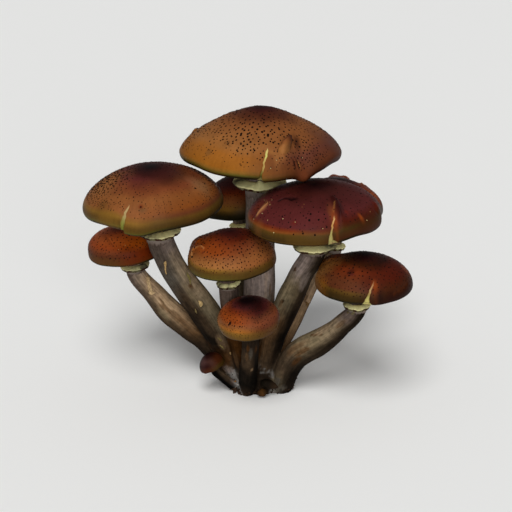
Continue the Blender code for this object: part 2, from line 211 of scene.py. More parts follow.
# %% Table of the mushrooms
MUSHROOMS = {
    "crown": dict(
        rim=(0, 15, 117.4), lean=(0.5, 0), radius=40.4, rise=18.2, umbo=4.1, slope=1.45, shift=(0.2, 0),
        hollow=4, lobes=[(33, 7, -3.2, -1), (-2, 26, -0.6, 0), (-54, 18, 1.2, 0), (62, 14, 1.8, 0)],
        crack=dict(
            outer=0.5, inner=6, start=0.765, notch=0.95, drop=(0.2, -1.5), reach=26,
            lips=[
                (0, 0, 0), (0.08, 0.65, 0.6), (0.4, 0.5, 0.45), (0.8, 0.4, 0.4), (1, 0.4, 0.4),
                (1.45, 0.6, 0.6), (2, 2.3, 2.1)],
            flesh=[
                (0, "#cfc48a"), (0.35, "#d3de8c"), (0.5, "#c2b274"), (0.85, "#a8935a"), (1, "#7a7a3c"),
                (1.4, "#4a5220"), (2, "#a3a070")]),
        marks=[
            (24, 0.76, 4, 2.2, 0.7, 22), (27, 0.93, 1.3, 1, 0.5, 0), (18, 0.86, 0.9, 0.9, 0.6, 0),
            (-32.5, 0.73, 0.8, 0.7, -0.7, 0), (-107, 0.86, 1.6, 1.6, 1.1, 0)],
        stem=[
            (-1, 4, -2, 6), (-1, 5, 14, 7), (-0.8, 7, 30, 7.7), (-0.3, 10, 48, 7.9), (0, 13, 66, 7.6),
            (0, 14.5, 84, 7.2)],
        neck=7, ring=(11.5, 13.7, 5), fork=30, gills=128),
    "left": dict(
        rim=(-50, -10, 98.6), lean=(-3, 2), radius=34.3, rise=18, umbo=0.6, slope=1.15, shift=(-1.9, 0),
        hollow=4, lobes=[(-43, 20, 1.7, 0), (-6, 11, -1.8, 0)],
        crack=dict(
            outer=-21.5, inner=-18, start=0.82, notch=0.955, drop=(1, -1.7), reach=13,
            lips=[
                (0, 0, 0), (0.2, 0.50, 0.45), (0.6, 0.65, 0.55), (0.9, 0.75, 0.65), (1, 0.8, 0.7),
                (2, 1.1, 1)],
            flesh=[
                (0, "#b8946a"), (0.3, "#b4a47c"), (0.6, "#a49670"), (0.8, "#93915c"), (1, "#7f8a44"),
                (2, "#6c7434")]),
        marks=[(-7, 0.82, 0.9, 1.4, -0.3, 0), (70, 0.74, 7, 5, 0.5, 0), (-30, 0.93, 3, 4, 0.5, 0)],
        stem=[
            (-9.5, -0.5, -2, 4.4), (-12.5, -0.8, 6, 4.6), (-16, -1.5, 16, 5.5), (-19.5, -2.2, 25, 6.6),
            (-24, -3, 34.5, 7.3), (-29.5, -4.2, 44.5, 7.5), (-35.5, -6, 54, 7.2), (-41.6, -7.5, 64, 6.7),
            (-45.8, -8.4, 73, 6.5)],
        neck=6.5, ring=(10.4, 10.8, 4), fork=31, gills=112),
    "red": dict(
        rim=(25.6, -17.5, 94), lean=(-3, 2), radius=33, rise=16.3, umbo=0.8, slope=1.05, shift=(1, -0.5),
        hollow=3.5, lobes=[(36, 15, 1.6, 0), (84, 9, 1.5, -1)],
        crack=dict(
            outer=10.5, inner=22, start=0.72, notch=0.93, drop=(0, 0.3), reach=14,
            lips=[
                (0, 0, 0), (0.2, 0.35, 0.3), (0.6, 0.55, 0.45), (0.84, 0.5, 0.45), (0.93, 0.55, 0.6),
                (1, 0.65, 1.6), (1.5, 0.8, 3.3), (2, 0.9, 4.6)],
            flesh=[
                (0, "#5a2418"), (0.25, "#8a4c32"), (0.42, "#dcbc8c"), (0.7, "#bc945c"), (0.82, "#b4a476"),
                (0.9, "#b8b880"), (2, "#a8a874")]),
        marks=[
            (27, 0.72, 5.6, 1.7, 1.6, 8), (23, 0.88, 4, 1.6, 1, 10), (-44, 0.49, 1.1, 3.2, -0.6, 20),
            (-58, 0.59, 2.2, 0.6, -0.3, 0), (32.5, 0.80, 0.8, 0.8, 0.5, 0), (43.5, 0.92, 1.6, 0.8, 0.5, 0),
            (78, 0.93, 1.8, 2, 0.9, 0), (70, 0.93, 1.2, 1.4, -0.6, 0), (-67, 0.83, 4.5, 1.3, 0.45, 0)],
        stem=[
            (1.5, -3.5, -2, 5.2), (2.6, -4, 8, 5.3), (4.1, -4.5, 17, 5.5), (6.4, -5.5, 28, 6),
            (9.8, -6.8, 37.7, 6.4), (14, -8.4, 48.4, 6.5), (17.9, -10, 58.1, 6.2), (21, -11.8, 66.4, 5.8)],
        neck=5.7, ring=(10.5, 10.4, 4), fork=32, gills=112),
    "right": dict(
        rim=(46.9, -28.4, 64.9), lean=(0, 2), radius=23.6, rise=13.4, umbo=1.6, slope=1.05, shift=(3.2, 0),
        hollow=3, lobes=[(-127, 13, 5, 0)],
        crack=dict(
            outer=0, inner=10.5, start=0.78, notch=0.94, drop=(0.3, -0.2), reach=16,
            lips=[
                (0, 0, 0), (0.3, 0.45, 0.35), (0.7, 0.55, 0.45), (0.86, 0.55, 0.5), (0.94, 0.7, 0.7),
                (1, 1.2, 1.3), (2, 2.5, 3)],
            flesh=[
                (0, "#9b6a50"), (0.3, "#b08a64"), (0.55, "#b69f78"), (0.8, "#9c8c5c"), (0.9, "#b4b474"),
                (1, "#c4c686"), (2, "#b8bc80")]),
        marks=[(-31, 0.60, 1.6, 1.8, -0.4, 0), (48, 0.94, 1.2, 5, -0.7, 0), (-112, 0.80, 4, 1.4, 0.6, 0)],
        stem=[
            (9.2, -6.5, -2, 5.4), (11.4, -7.6, 5, 5.9), (14, -9, 12.5, 6.2), (17.6, -10.8, 19.5, 6.7),
            (22.4, -12.9, 24.6, 7), (28.5, -15.4, 29.2, 6.7), (34.6, -19, 35.2, 5.8),
            (39.6, -22.6, 41.5, 5.1)],
        neck=4.6, ring=(8.8, 6.8, 3), fork=24, gills=84),
    "middle": dict(
        rim=(-16.3, -16.5, 71.9), lean=(-4, 4), radius=21.7, rise=14.4, umbo=1.3, slope=0.88, shift=(2.7, 0),
        hollow=2.6, lobes=[(-118, 13, 3.2, 0.6)],
        marks=[
            (-80, 0.86, 0.8, 2.6, 0.5, 20), (-66, 0.72, 0.8, 2.2, 0.5, -25), (-56, 0.74, 1.3, 1.6, -0.5, 0),
            (-50, 0.74, 0.7, 0.7, 0.5, 0), (-98, 0.74, 1.8, 1.8, 1.1, 0), (68.5, 0.66, 1, 1, -0.4, 0)],
        stem=[(-8, -5, -2, 3.4), (-9, -6.5, 12, 3.7), (-11.4, -11, 27, 4.3), (-14.2, -12.4, 42, 4.7)],
        neck=4.7, ring=(10, 6.2, 3), fork=28, gills=76),
    "front": dict(
        rim=(-5.2, -33.5, 45.5), lean=(-5, 8), radius=15.4, rise=13.2, umbo=1.2, slope=0.7, tuck=(6.5, 0.11),
        hollow=0.6, marks=[(-40, 0.86, 1, 0.8, -0.3, 0)],
        stem=[(-6.7, -11.2, -1, 2.8), (-6.4, -13.6, 5, 4.2), (-6, -17, 12.6, 4.5), (-5.1, -23, 23.6, 4.3)],
        neck=4.2, fork=11),
    "low": dict(
        rim=(-64.4, 12, 67.9), lean=(-5, 3), radius=19.3, rise=11.8, umbo=0.9, slope=0.65, shift=(-3.3, 0),
        hollow=2, marks=[(30, 0.6, 3, 3, -0.4, 0)],
        stem=[
            (-8.5, 3, -2, 4.4), (-15, 3.6, 5, 4.7), (-21, 4.6, 12.5, 5), (-28.2, 6, 21, 5.2),
            (-36.9, 6.2, 29, 6), (-46.5, 8, 37.3, 6.4), (-54.8, 9.8, 46.8, 5.3)],
        neck=4.7, ring=(7.2, 7.7, 3), fork=34, gills=72),
    "rear_left": dict(
        rim=(-10.8, 43.5, 79.5), lean=(-4, -4), radius=21, rise=17, umbo=1, slope=1, shift=(0.8, 0),
        hollow=2.4, marks=[(160, 0.6, 2, 2.6, -0.4, 0), (-140, 0.8, 1.2, 1.2, 0.5, 0)],
        stem=[(-4, 9, -2, 3.8), (-4.4, 13.5, 12, 3.9), (-6.2, 23, 32, 4), (-8.6, 35, 54, 4)], neck=3.8,
        ring=(6.5, 6, 3.2), fork=24, gills=76),
    "rear_right": dict(
        rim=(40.3, 43, 80), lean=(4, -3), radius=25, rise=14, umbo=0.8, slope=1, shift=(-0.8, 0), hollow=3,
        lobes=[(183, 11, 8, 0.4), (165, 11, 7.5, 0.4)],
        marks=[(120, 0.7, 3, 1.6, 0.7, 30), (-130, 0.65, 2.4, 2, -0.4, 0)],
        stem=[
            (6.5, 7, -2, 3.9), (8.8, 9.5, 12, 4), (13.6, 14, 21.2, 4.1), (18.4, 20, 29.4, 4.2),
            (22.5, 25, 36.6, 4.2), (27.8, 31, 45, 4.2), (34, 37, 52.6, 4.2)],
        neck=4.1, ring=(18, 6.6, 3.6), fork=25, gills=88),
    "tiny": dict(
        rim=(-23.7, -12.6, 15.7), lean=(-24, 4), radius=6.8, rise=6.3, umbo=0.6, slope=1.1, hollow=0.6,
        stem=[(-11.5, -7, 0.8, 2.4), (-15.4, -9.4, 4.8, 2.4)], neck=2.3, fork=4),
}
PLAIN = dict(shift=(0.0, 0.0), lobes=[], crack=None, marks=[], creases=[], tuck=None, ring=None, gills=0)
MUSHROOMS = {name: {**PLAIN, **cap} for name, cap in MUSHROOMS.items()}
# The shape that all caps share, as shares of the radius
EDGE_HEIGHT = 0.075  # height of the rounded margin
MARGIN_RADIUS = 0.955  # where the margin's lower edge turns in to the gills
GILL_MIDDLE = 0.58  # where the gills hang level
UMBO_WIDTH = 0.42
LOBE_REACH = 4  # the power of the share by which a lobe grows towards the margin
SEAT_RISE = 0.85  # height of the stem's seat, as a share of the hollow
print("mushrooms:", ", ".join(MUSHROOMS))

# %% [markdown]
# ## Geometry of a cap
# A cap is a turned form, so its skin, its margin and the roof over its gills are one profile spun round the
# stem. What makes it alive comes after the spin: the margin's lobes, folds and dimples, a slow unevenness,
# and the crack where the skin tore as the cap spread. Every detail that sits on a cap later asks the same
# functions where the skin is, so nothing floats.

# %% Angles and the smooth dome
def angle_round(x, y):
    """The angle round a cap of a point in the cap's frame."""
    return degrees(atan2(x, -y))


def apart(a, b):
    """Signed difference of two angles in degrees."""
    return (a - b + 180) % 360 - 180


def skin_height(cap, share):
    """Height of the smooth dome above the margin's plane."""
    cosine = sqrt(max(0.0, 1 - share * share))
    boss = cap["umbo"] * exp(-((share / UMBO_WIDTH) ** 2))
    return EDGE_HEIGHT * cap["radius"] + cap["rise"] * cosine ** cap["slope"] + boss


# %% Table of creases and stains
CREASES = {
    # points (angle, share), half-width and height in mm, and the colour and strength laid along it
    "crown": [([(6.5, 0.775), (10, 0.80), (12, 0.85)], 0.5, -0.25, "pale tan", 0.5)],
    "red": [
        ([(-61, 0.61), (-58, 0.53), (-50, 0.485), (-44, 0.485), (-36, 0.44)], 0.75, -0.7, "black plum", 1),
        # painted highlight: the bright peach and peach streaks on the red cap's left, along low ridges
        ([(-70, 0.72), (-67.5, 0.90)], 1.5, 0.45, "bright peach", 0.62),
        ([(-78, 0.70), (-72, 0.80)], 0.35, 0.15, "peach", 0.4),
        ([(30, 0.50), (28.5, 0.60), (25.5, 0.70), (23.5, 0.86)], 1.7, 1.7, "dark plum", 0.85),
        ([(33, 0.43), (30.5, 0.49)], 0.35, -0.35, "black plum", 0.9),
        ([(25, 0.64), (20.5, 0.72), (19, 0.75)], 0.45, 0, "peach", 0.8)],
    "right": [
        ([(33, 0.975), (48, 0.945), (62, 0.94)], 0.7, -0.6, "umber", 0.85),
        ([(9.5, 0.80), (6, 0.88)], 0.8, 0.2, "orange rust", 0.8),
        ([(-118, 0.93), (-104, 0.97), (-92, 0.99)], 1.3, 0.3, "gold", 0.8)],
    "middle": [
        (
            [(-69, 0.93), (-79.5, 0.90), (-80.5, 0.82), (-70, 0.71), (-58, 0.69)], 0.55, 0.75, "bright peach",
            0.8),
        ([(-56, 0.745), (-50, 0.74)], 0.5, -0.3, "wine", 0.9)],
    "low": [([(-60, 0.55), (-35, 0.62), (-20, 0.75)], 0.5, -0.25, "plum", 0.3)],
    "rear_left": [([(150, 0.5), (165, 0.62), (170, 0.78)], 0.5, -0.4, "dark plum", 0.5)],
    "rear_right": [([(100, 0.55), (120, 0.62), (135, 0.75)], 0.6, 0.5, "peach", 0.35)],
}
# stains, with painted light, shade, sheen and highlights among them
CAP_STAINS_AND_PAINTED_LIGHT = {
    # (angle, share, half-length along the radius, half-width in mm, turn, colour, strength)
    "crown": [
        # painted shadow: the dark plum at (37, 0.71) is the finger's shadow on its right
        (37, 0.71, 4, 2, 30, "dark plum", 0.8), (16, 0.84, 2.6, 2.4, 22, "pale tan", 0.7),
        # painted shade: the black plum at (-32.5, 0.73), with the black spot at the same place, darkens a
        # shallow hole
        (-32.5, 0.73, 0.95, 0.7, 0, "black plum", 1), (-35.5, 0.745, 1.2, 0.35, 0, "black plum", 0.8),
        (-44, 0.89, 1.6, 1.7, 0, "smoke", 0.75), (26.7, 0.925, 1.5, 1.9, 0, "cinnamon", 0.6),
        (25.2, 0.93, 1.6, 0.6, 0, "black plum", 1), (28.4, 0.925, 1.5, 0.6, 0, "black plum", 1),
        # painted highlight: the peach at (29.9, 0.925) beside the dark blister strokes
        (29.9, 0.925, 1.2, 0.4, 0, "peach", 0.6), (9, 0.90, 4.5, 4, 0, "bark", 0.30),
        (8.5, 0.805, 1.2, 1.4, 0, "pale tan", 0.8), (70, 0.80, 8, 11, 0, "purple brown", 0.55),
        (-45, 0.86, 5, 12, 0, "gold", 0.35), (31, 1, 2, 3, 0, "cinnamon", 0.6),
        (12, 0.87, 3, 1.6, 0, "pale tan", 0.5)],
    "left": [
        # painted sheen: the pale patch at (68, 0.74)
        (68, 0.74, 6, 5, 0, "haze", 0.28), (35, 0.36, 7, 6, 0, "plum", 0.55),
        (-7, 0.82, 0.8, 1.1, 0, "ember", 0.95), (-5, 0.86, 0.9, 2, 0, "smoke", 0.5),
        (-36, 0.975, 1.6, 6.5, 0, "olive gold", 0.6), (35, 0.80, 4.5, 9, 0, "sienna", 0.4),
        # painted light: the pale tan at (-80, 0.64) lightens the cap's shaded left side
        (-80, 0.64, 9, 11, 0, "pale tan", 0.65), (-45, 0.90, 2.2, 4, 0, "olive", 0.5)],
    "red": [
        (17, 0.74, 4.6, 1.7, 10, "cinnamon", 0.85), (17.5, 0.85, 4, 1.3, 12, "ember glow", 0.7),
        (80, 0.93, 2, 2.2, 0, "blood", 0.6), (52, 0.965, 2.2, 11, 0, "umber", 0.6),
        (-10, 0.99, 1.2, 30, 0, "olive", 0.6), (-80, 0.86, 3.5, 5, 0, "ember", 0.5),
        (32.5, 0.80, 1.2, 1.2, 0, "blood", 0.6), (43.5, 0.92, 1.5, 1.2, 0, "ember glow", 0.7),
        (-21, 0.87, 0.9, 1.3, 0, "blood", 0.7), (20, 0.5, 8, 12, 0, "maroon", 0.3),
        # painted light: the wine at (-95, 0.50) lightens the cap's shaded left side
        (-95, 0.50, 6, 6, 0, "wine", 0.5), (-41, 0.475, 0.9, 2.8, 0, "black plum", 0.9),
        (-58, 0.97, 1.6, 3, 0, "tan", 0.35)],
    "right": [
        (-31, 0.60, 1.8, 2, 0, "dark plum", 0.7), (-27, 0.66, 0.8, 1.6, 0, "wine", 0.6),
        (5, 0.80, 4.5, 5, 0, "oxblood", 0.5), (11, 0.86, 2.6, 1.5, 0, "ember glow", 0.6),
        # painted light: the peach at (-94, 0.79) lightens the cap's shaded left side
        (14, 0.96, 1.5, 2, 0, "black plum", 0.6), (-94, 0.79, 7, 6, 0, "peach", 0.75),
        (90, 0.84, 2.2, 3, 0, "ember glow", 0.6), (-70, 0.95, 1.8, 6, 0, "amber", 0.5)],
    "middle": [
        # painted light: the burnt orange at (-92, 0.72) and the tan at (80, 0.82) lighten the cap's shaded left
        # and right sides
        (-92, 0.72, 6, 6, 0, "burnt orange", 0.55), (80, 0.82, 6, 5, 0, "tan", 0.55),
        (-98, 0.76, 2, 2, 0, "orange rust", 0.8), (-40, 0.62, 4, 6, 0, "orange rust", 0.5)],
    "front": [
        (-40, 0.86, 0.7, 0.5, 30, "black plum", 0.9), (40, 0.55, 4, 5, 0, "dark plum", 0.5),
        (50, 0.85, 2.5, 5, 0, "purple brown", 0.5)],
    "low": [(10, 0.92, 2.2, 5, 0, "ember", 0.5), (-75, 0.66, 5, 6, 0, "purple brown", 0.4)],
    "rear_right": [(174, 0.93, 5, 8, 0, "ember glow", 0.7)],
    # painted sheen: the lilac brown on the cap's left
    "tiny": [(-45, 0.62, 2, 2, 0, "lilac brown", 0.35)],
}

# %% Creases
CREASE_FAR = 9.0  # mm past which a crease has no weight
CREASE_ENDS = 30.0  # mm from either end of a crease past which it is not looked at
FAINT = 6  # square of the distance, in half-widths, past which a mark is too faint to count


def flat_place(cap, angle, share):
    """A place on a cap seen from above, in millimetres."""
    turn = radians(angle)
    return Vector((sin(turn), cos(turn))) * share * cap["radius"]


for name, creases in CREASES.items():
    MUSHROOMS[name]["creases"] = [
        ([flat_place(MUSHROOMS[name], *place) for place in line], width, height, colour, strength)
        for line, width, height, colour, strength in creases
    ]


def crease_weights(cap, angle, share):
    """[(weight, height, colour, strength)] of the creases that pass near a place on the skin."""
    found = []
    here = flat_place(cap, angle, share)
    for line, width, height, colour, strength in cap["creases"]:
        if max((here - line[0]).length, (here - line[-1]).length) > CREASE_ENDS:
            continue
        best, run = CREASE_FAR, 0.0
        for k, (a, b) in enumerate(zip(line, line[1:])):
            along = b - a
            t = min(1.0, max(0.0, (here - a).dot(along) / along.length_squared))
            distance = (here - a - along * t).length
            if distance < best:
                best, run = distance, (k + t) / (len(line) - 1)
        # a crease is widest half way, and about half as wide at its ends
        q = (best / (width * (0.45 + 0.55 * sin(pi * min(0.97, max(0.03, run)))))) ** 2
        if q < FAINT:
            found.append((exp(-q), height, colour, strength))
    return found


# %% Folds, blisters, dimples and stains
MARK_ARC = 1.2  # radians round the cap past which a mark is not looked at
STAIN_ARC = 1.4
STAIN_FAINT = 5
MARK_EDGE = 1.4  # how sharply a mark ends, as the power of its squared distance
STAIN_EDGE = 1.3


def from_oval(cap, angle, share, oval, arc):
    """(squared distance in half-sizes, mm outwards, mm sideways) of a place from an oval's middle."""
    middle, at, along, across, turn = oval
    off = radians(apart(angle, middle))
    if abs(off) > arc:
        return inf, 0.0, 0.0
    out = (share * cos(off) - at) * cap["radius"]
    side = share * sin(off) * cap["radius"]
    c, s = cos(radians(turn)), sin(radians(turn))
    return ((out * c - side * s) / along) ** 2 + ((out * s + side * c) / across) ** 2, out, side


def marks_height(cap, angle, share):
    """How far folds, blisters, dimples and creases move the skin."""
    total = 0.0
    for middle, at, along, across, height, turn in cap["marks"]:
        q = from_oval(cap, angle, share, (middle, at, along, across, turn), MARK_ARC)[0]
        if q < FAINT:
            total += height * exp(-(q**MARK_EDGE))
    for weight, height, _, _ in crease_weights(cap, angle, share):
        total += height * weight
    return total


def skin_stain_and_painted_light(name, cap, angle, share):
    """The colour of stains, creases and painted light, shade, sheen and highlights that lies over the skin's
    own at a place, with its strength as alpha.
    """
    creases = crease_weights(cap, angle, share)
    layers = [(weight * strength, colour) for weight, _, colour, strength in creases]
    for *oval, colour, strength in CAP_STAINS_AND_PAINTED_LIGHT.get(name, []):
        q, out, side = from_oval(cap, angle, share, oval, STAIN_ARC)
        if q < STAIN_FAINT:
            _, at, along, _, _ = oval
            q *= 1 + 0.5 * noise.noise(Vector((out, side, at * 9)) / (0.4 * along + 0.4))
            layers.append((strength * exp(-(max(0.0, q) ** STAIN_EDGE)), colour))
    colour = Vector((0.0, 0.0, 0.0))
    alpha = 0.0
    for weight, key in layers:
        whole = weight + alpha * (1 - weight)
        if whole > 1e-4:
            colour = (Vector(deep(PIGMENT[key])[:3]) * weight + colour * alpha * (1 - weight)) / whole
        alpha = whole
    return (*colour, alpha)


# %% The crack in a margin
def crack_run(crack, share):
    """0 at the crack's tip and 1 where the skin meets the margin. Down the margin the run goes on to 2."""
    return min(1.0, max(0.0, (share - crack["start"]) / (1 - crack["start"])))


def stops_beside(stops, at):
    """The stops on either side of a place in a table, and its share of the way from one to the other."""
    for low, high in zip(stops, stops[1:]):
        if at <= high[0]:
            return low, high, max(0.0, at - low[0]) / (high[0] - low[0])
    return stops[-1], stops[-1], 0.0


def crack_line(crack, run):
    """The crack's wandering angle, and how far its left and right lips stand off in millimetres."""
    upper = min(1.0, run)
    share = crack["start"] + upper * (1 - crack["start"])
    wander = sin(share * 61.0) + 0.6 * sin(share * 143.0)
    angle = crack["inner"] + (crack["outer"] - crack["inner"]) * upper + wander * upper * (1.2 - upper)
    (_, left, right), (_, next_left, next_right), t = stops_beside(crack["lips"], run)
    return angle, left + (next_left - left) * t, right + (next_right - right) * t


def crack_flesh(crack, run):
    """The colour of the torn flesh, as the skin's material takes it."""
    (_, first), (_, second), t = stops_beside(crack["flesh"], run)
    return Vector(deep(first)[:3]).lerp(Vector(deep(second)[:3]), t)


# %% The finished skin
UNEVEN_SIZE = 11.0  # mm from one slow swell of the skin to the next
UNEVEN_HEIGHT = 0.35
EDGE_WAVE = 0.5  # mm that the margin rises and falls
EDGE_WAVES = 2.2  # noise cells across the cap


def settled(cap, angle, share, height):
    """Puts a point of the turned form in the cap's frame, with the lobes and the cap's offset."""
    reach = 1.0
    for middle, width, lift, out in cap["lobes"]:
        weight = exp(-((apart(angle, middle) / width) ** 2)) * share**LOBE_REACH
        height += lift * weight
        reach += out / cap["radius"] * weight
    if share > 0.5:
        about = Vector((cos(radians(angle)), sin(radians(angle)), cap["radius"]))
        height += EDGE_WAVE * noise.noise(about * EDGE_WAVES) * share**8
    if cap["tuck"]:
        below, inwards = cap["tuck"]
        reach *= 1 - inwards * max(0.0, 1 - height / below) ** 2
    crack = cap["crack"]
    if crack and share > crack["start"]:
        run = crack_run(crack, share)
        off = apart(angle, crack_line(crack, run)[0])
        height += crack["drop"][off > 0] * run**3 * exp(-((off / crack["reach"]) ** 2))
    r = cap["radius"] * share * reach
    turn = radians(angle)
    return Vector((r * sin(turn) + cap["shift"][0], -r * cos(turn) + cap["shift"][1], height))


def skin_point(cap, angle, share):
    """A point of the finished skin in the cap's frame, in millimetres."""
    smooth = settled(cap, angle, share, skin_height(cap, share))
    swell = noise.noise(smooth / UNEVEN_SIZE + Vector(cap["rim"])) * UNEVEN_HEIGHT * (1 - share**6)
    smooth.z += swell + marks_height(cap, angle, share)
    return smooth


def cap_matrix(cap):
    """From the cap's frame in millimetres to the world in metres."""
    right, forward = cap["lean"]
    turn = Euler((radians(forward), radians(right), 0.0)).to_matrix().to_4x4()
    return Matrix.Translation(Vector(cap["rim"]) * MM) @ turn @ Matrix.Scale(MM, 4)


for name, cap in MUSHROOMS.items():
    _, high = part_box(f"cap_{name}")
    top = cap_matrix(cap) @ skin_point(cap, 0, 0)
    print(f"cap_{name}: solid reaches {high[2] / MM:.1f} mm, skin {top.z / MM:.1f} mm")

# %% [markdown]
# ## The roof over the gills
# Gills are thin blades that hang under the cap like the vanes of a turbine. Long ones run from the stem to
# the margin, and shorter ones fill the room that opens between them. Folding the roof itself into blades
# keeps the cap one closed skin, as the real one is.

# %% Roof and gills
# Where a gill's four columns stand in its pitch: two on the roof and two on the blade's edge
GILL_COLUMNS = (0.0, 0.60, 0.70, 0.90)
SHORT_STARTS = (0.0, 0.77, 0.55, 0.74)  # where the four kinds of gill start, as shares of the radius


def stem_share(cap):
    """Where the roof meets the stem, as a share of the radius."""
    return (cap["neck"] + 0.4 + hypot(*cap["shift"])) / cap["radius"]


def gill_edge(cap, share):
    """Height of the blades' lower edges, which is where the solid's underside lies."""
    if share > GILL_MIDDLE:
        inwards = (MARGIN_RADIUS - share) / (MARGIN_RADIUS - GILL_MIDDLE)
        return cap["hollow"] * max(0.0, inwards) ** 0.8
    inwards = (GILL_MIDDLE - share) / max(0.05, GILL_MIDDLE - stem_share(cap))
    return cap["hollow"] * (1 - (1 - SEAT_RISE) * min(1.0, inwards))


def blade_depth(cap, share, start=0.0):
    """How far a blade that starts at that share hangs down from the roof."""
    deepest = 0.8 + 0.075 * cap["radius"]
    inwards = max(0.0, (MARGIN_RADIUS - 0.01 - share) / (MARGIN_RADIUS - stem_share(cap)))
    outer = sqrt(1 - (1 - min(1.0, 1.7 * inwards)) ** 2)
    full = deepest * outer * (1 - 0.35 * inwards)
    if start:
        full *= max(0.0, min(1.0, (share - start) / 0.12)) ** 0.7
    return full


def roof_height(cap, share):
    """Height of the roof between the blades."""
    return gill_edge(cap, share) + blade_depth(cap, share)


# %% [markdown]
# ## Spinning a cap
# The profile has rows down the skin, round the margin and in along the roof. Four columns make one gill, so
# the number of gills sets the number of columns. One column lies on the crack: it and its neighbours are
# moved apart and down to make a torn slot, which opens to a notch at the margin.

# %% Cap mesh
SKIN_ROWS = 46
MARGIN_ROWS = 6
ROOF_ROWS = 15
RAMP_END = 1.05  # where the pigment ramps end: 1 is the top of the margin, and this its lower edge
PLAIN_COLUMNS = 176  # columns of a button whose gills are still closed in
CRACK_PULL = 30  # degrees on either side over which the columns bend along with a crack
HEAP = 5  # mm from a lip over which the columns that it pushed aside spread out again


def cap_rows(cap):
    """[(share, height, kind)] from the top, down the skin, round the margin and in to the stem."""
    rows = []
    for i in range(SKIN_ROWS + 1):
        share = sin(pi / 2 * (i / SKIN_ROWS) ** 0.9)
        rows.append((share, skin_height(cap, share), "skin"))
    edge = EDGE_HEIGHT * cap["radius"]
    for i in range(1, MARGIN_ROWS + 1):
        turn = pi / 2 * i / MARGIN_ROWS
        share = MARGIN_RADIUS + (1 - MARGIN_RADIUS) * cos(turn)
        rows.append((share, edge * (1 - sin(turn)), "margin"))
    inner = stem_share(cap)
    outer = MARGIN_RADIUS - 0.012
    for i in range(ROOF_ROWS + 1):
        share = outer + (inner * 0.8 - outer) * (i / ROOF_ROWS) ** 1.15
        rows.append((share, roof_height(cap, share), "roof"))
    rows.append((0.0, roof_height(cap, inner), "roof"))
    return rows


def opened(cap, step, angle, share, height, kind, run):
    """Moves a point near the crack: (angle, share, height, how torn). step counts columns from the crack."""
    crack = cap["crack"]
    line, left, right = crack_line(crack, run)
    off = apart(angle, crack["outer"])
    angle = angle + (line - crack["outer"]) * exp(-((off / CRACK_PULL) ** 2))
    if run <= 0:
        return angle, share, height, 0.0
    size = cap["radius"] * share
    pitch = radians(off / step) * size if step else 0.0
    beside = abs(step)
    sign, half = (-1, left) if step < 0 else (1, right)
    depth = torn = 0.0
    if beside == 0:
        across, depth, torn = (right - left) / 2, min(1.0, 0.3 + 0.4 * (left + right)), 1.0
        share = min(share, crack["notch"])
    elif beside == 1:
        across, depth, torn = half * 0.8, 0.45 * min(1.0, half + 0.2), 1.0
        if share > crack["notch"]:
            share = (share + crack["notch"]) / 2
    elif beside == 2:
        across = half + 0.1
    else:
        across = half * exp(-(((beside - 2) * pitch / HEAP) ** 2)) + (beside - 2) * pitch + 0.1
    if kind == "skin":
        height -= depth
    return line + sign * degrees(across / size), share, height, torn


def build_cap(name, cap):
    """The cap's bmesh in the world, with place and stain, painted light and shade among it, written on its
    points.
    """
    columns = cap["gills"] * 4 or PLAIN_COLUMNS
    start = cap["crack"]["outer"] if cap["crack"] else 0.0
    turn = radians(start)
    rows = cap_rows(cap)
    size = cap["radius"]
    bm = bmesh.new()
    row_of = bm.verts.layers.int.new("row")
    line = []
    for i, (share, height, kind) in enumerate(rows):
        vertex = bm.verts.new((size * share * sin(turn), -size * share * cos(turn), height))
        vertex[row_of] = i
        line.append(vertex)
    edges = [bm.edges.new(pair) for pair in zip(line, line[1:])]
    bmesh.ops.spin(
        bm, geom=line + edges, cent=(0, 0, 0), axis=(0, 0, 1), dvec=(0, 0, 0),
        angle=tau, steps=columns, use_merge=True, use_duplicate=False,
    )
    bmesh.ops.remove_doubles(bm, verts=bm.verts, dist=1e-4)
    place = bm.verts.layers.float_vector.new("place")
    stain_and_light_of = bm.verts.layers.float_color.new("stain")
    chance = random.Random(len(name) * 7 + 1)
    kinds = [SHORT_STARTS[i % 4] for i in range(columns // 4)]
    starts = [start_share and start_share + chance.uniform(-0.06, 0.06) for start_share in kinds]
    lengths = [chance.uniform(0.88, 1.05) for _ in starts]
    matrix = cap_matrix(cap)
    for vertex in bm.verts:
        share, height, kind = rows[vertex[row_of]]
        fall = 1 - height / (EDGE_HEIGHT * size) if kind == "margin" else 1.0
        run = 1 + fall if kind != "skin" or not cap["crack"] else crack_run(cap["crack"], share)
        angle = angle_round(vertex.co.x, vertex.co.y) if share > 0 else start
        step = round(apart(angle, start) / 360 * columns)
        torn = 0.0
        if kind == "roof" and cap["gills"] and share > 0.02:
            gill, part = divmod(step % columns, 4)
            angle += (GILL_COLUMNS[part] - part / 4) * 4 * 360 / columns
            if part >= 2:
                height -= blade_depth(cap, share, starts[gill]) * lengths[gill]
        elif cap["crack"] and share > 0:
            angle, share, height, torn = opened(cap, step, angle, share, height, kind, run)
        shown = share
        if kind == "skin":
            flat = skin_point(cap, angle, share)
            flat.z += height - skin_height(cap, share) if torn else 0.0
            vertex[stain_and_light_of] = skin_stain_and_painted_light(name, cap, angle, share)
        else:
            flat = settled(cap, angle, share, height)
            if kind == "margin":
                shown = 1 + (RAMP_END - 1) * fall
                vertex[stain_and_light_of] = skin_stain_and_painted_light(name, cap, angle, 1.0)
        if torn:
            vertex[stain_and_light_of] = (*crack_flesh(cap["crack"], run), 1.0)
        turned = radians(angle)
        vertex[place] = (shown * sin(turned), -shown * cos(turned), 0.0)
        vertex.co = matrix @ flat
    last_margin = SKIN_ROWS + MARGIN_ROWS
    for face in bm.faces:
        face.smooth = True
        face.material_index = 1 if min(v[row_of] for v in face.verts) >= last_margin else 0
    bmesh.ops.recalc_face_normals(bm, faces=bm.faces)
    return bm


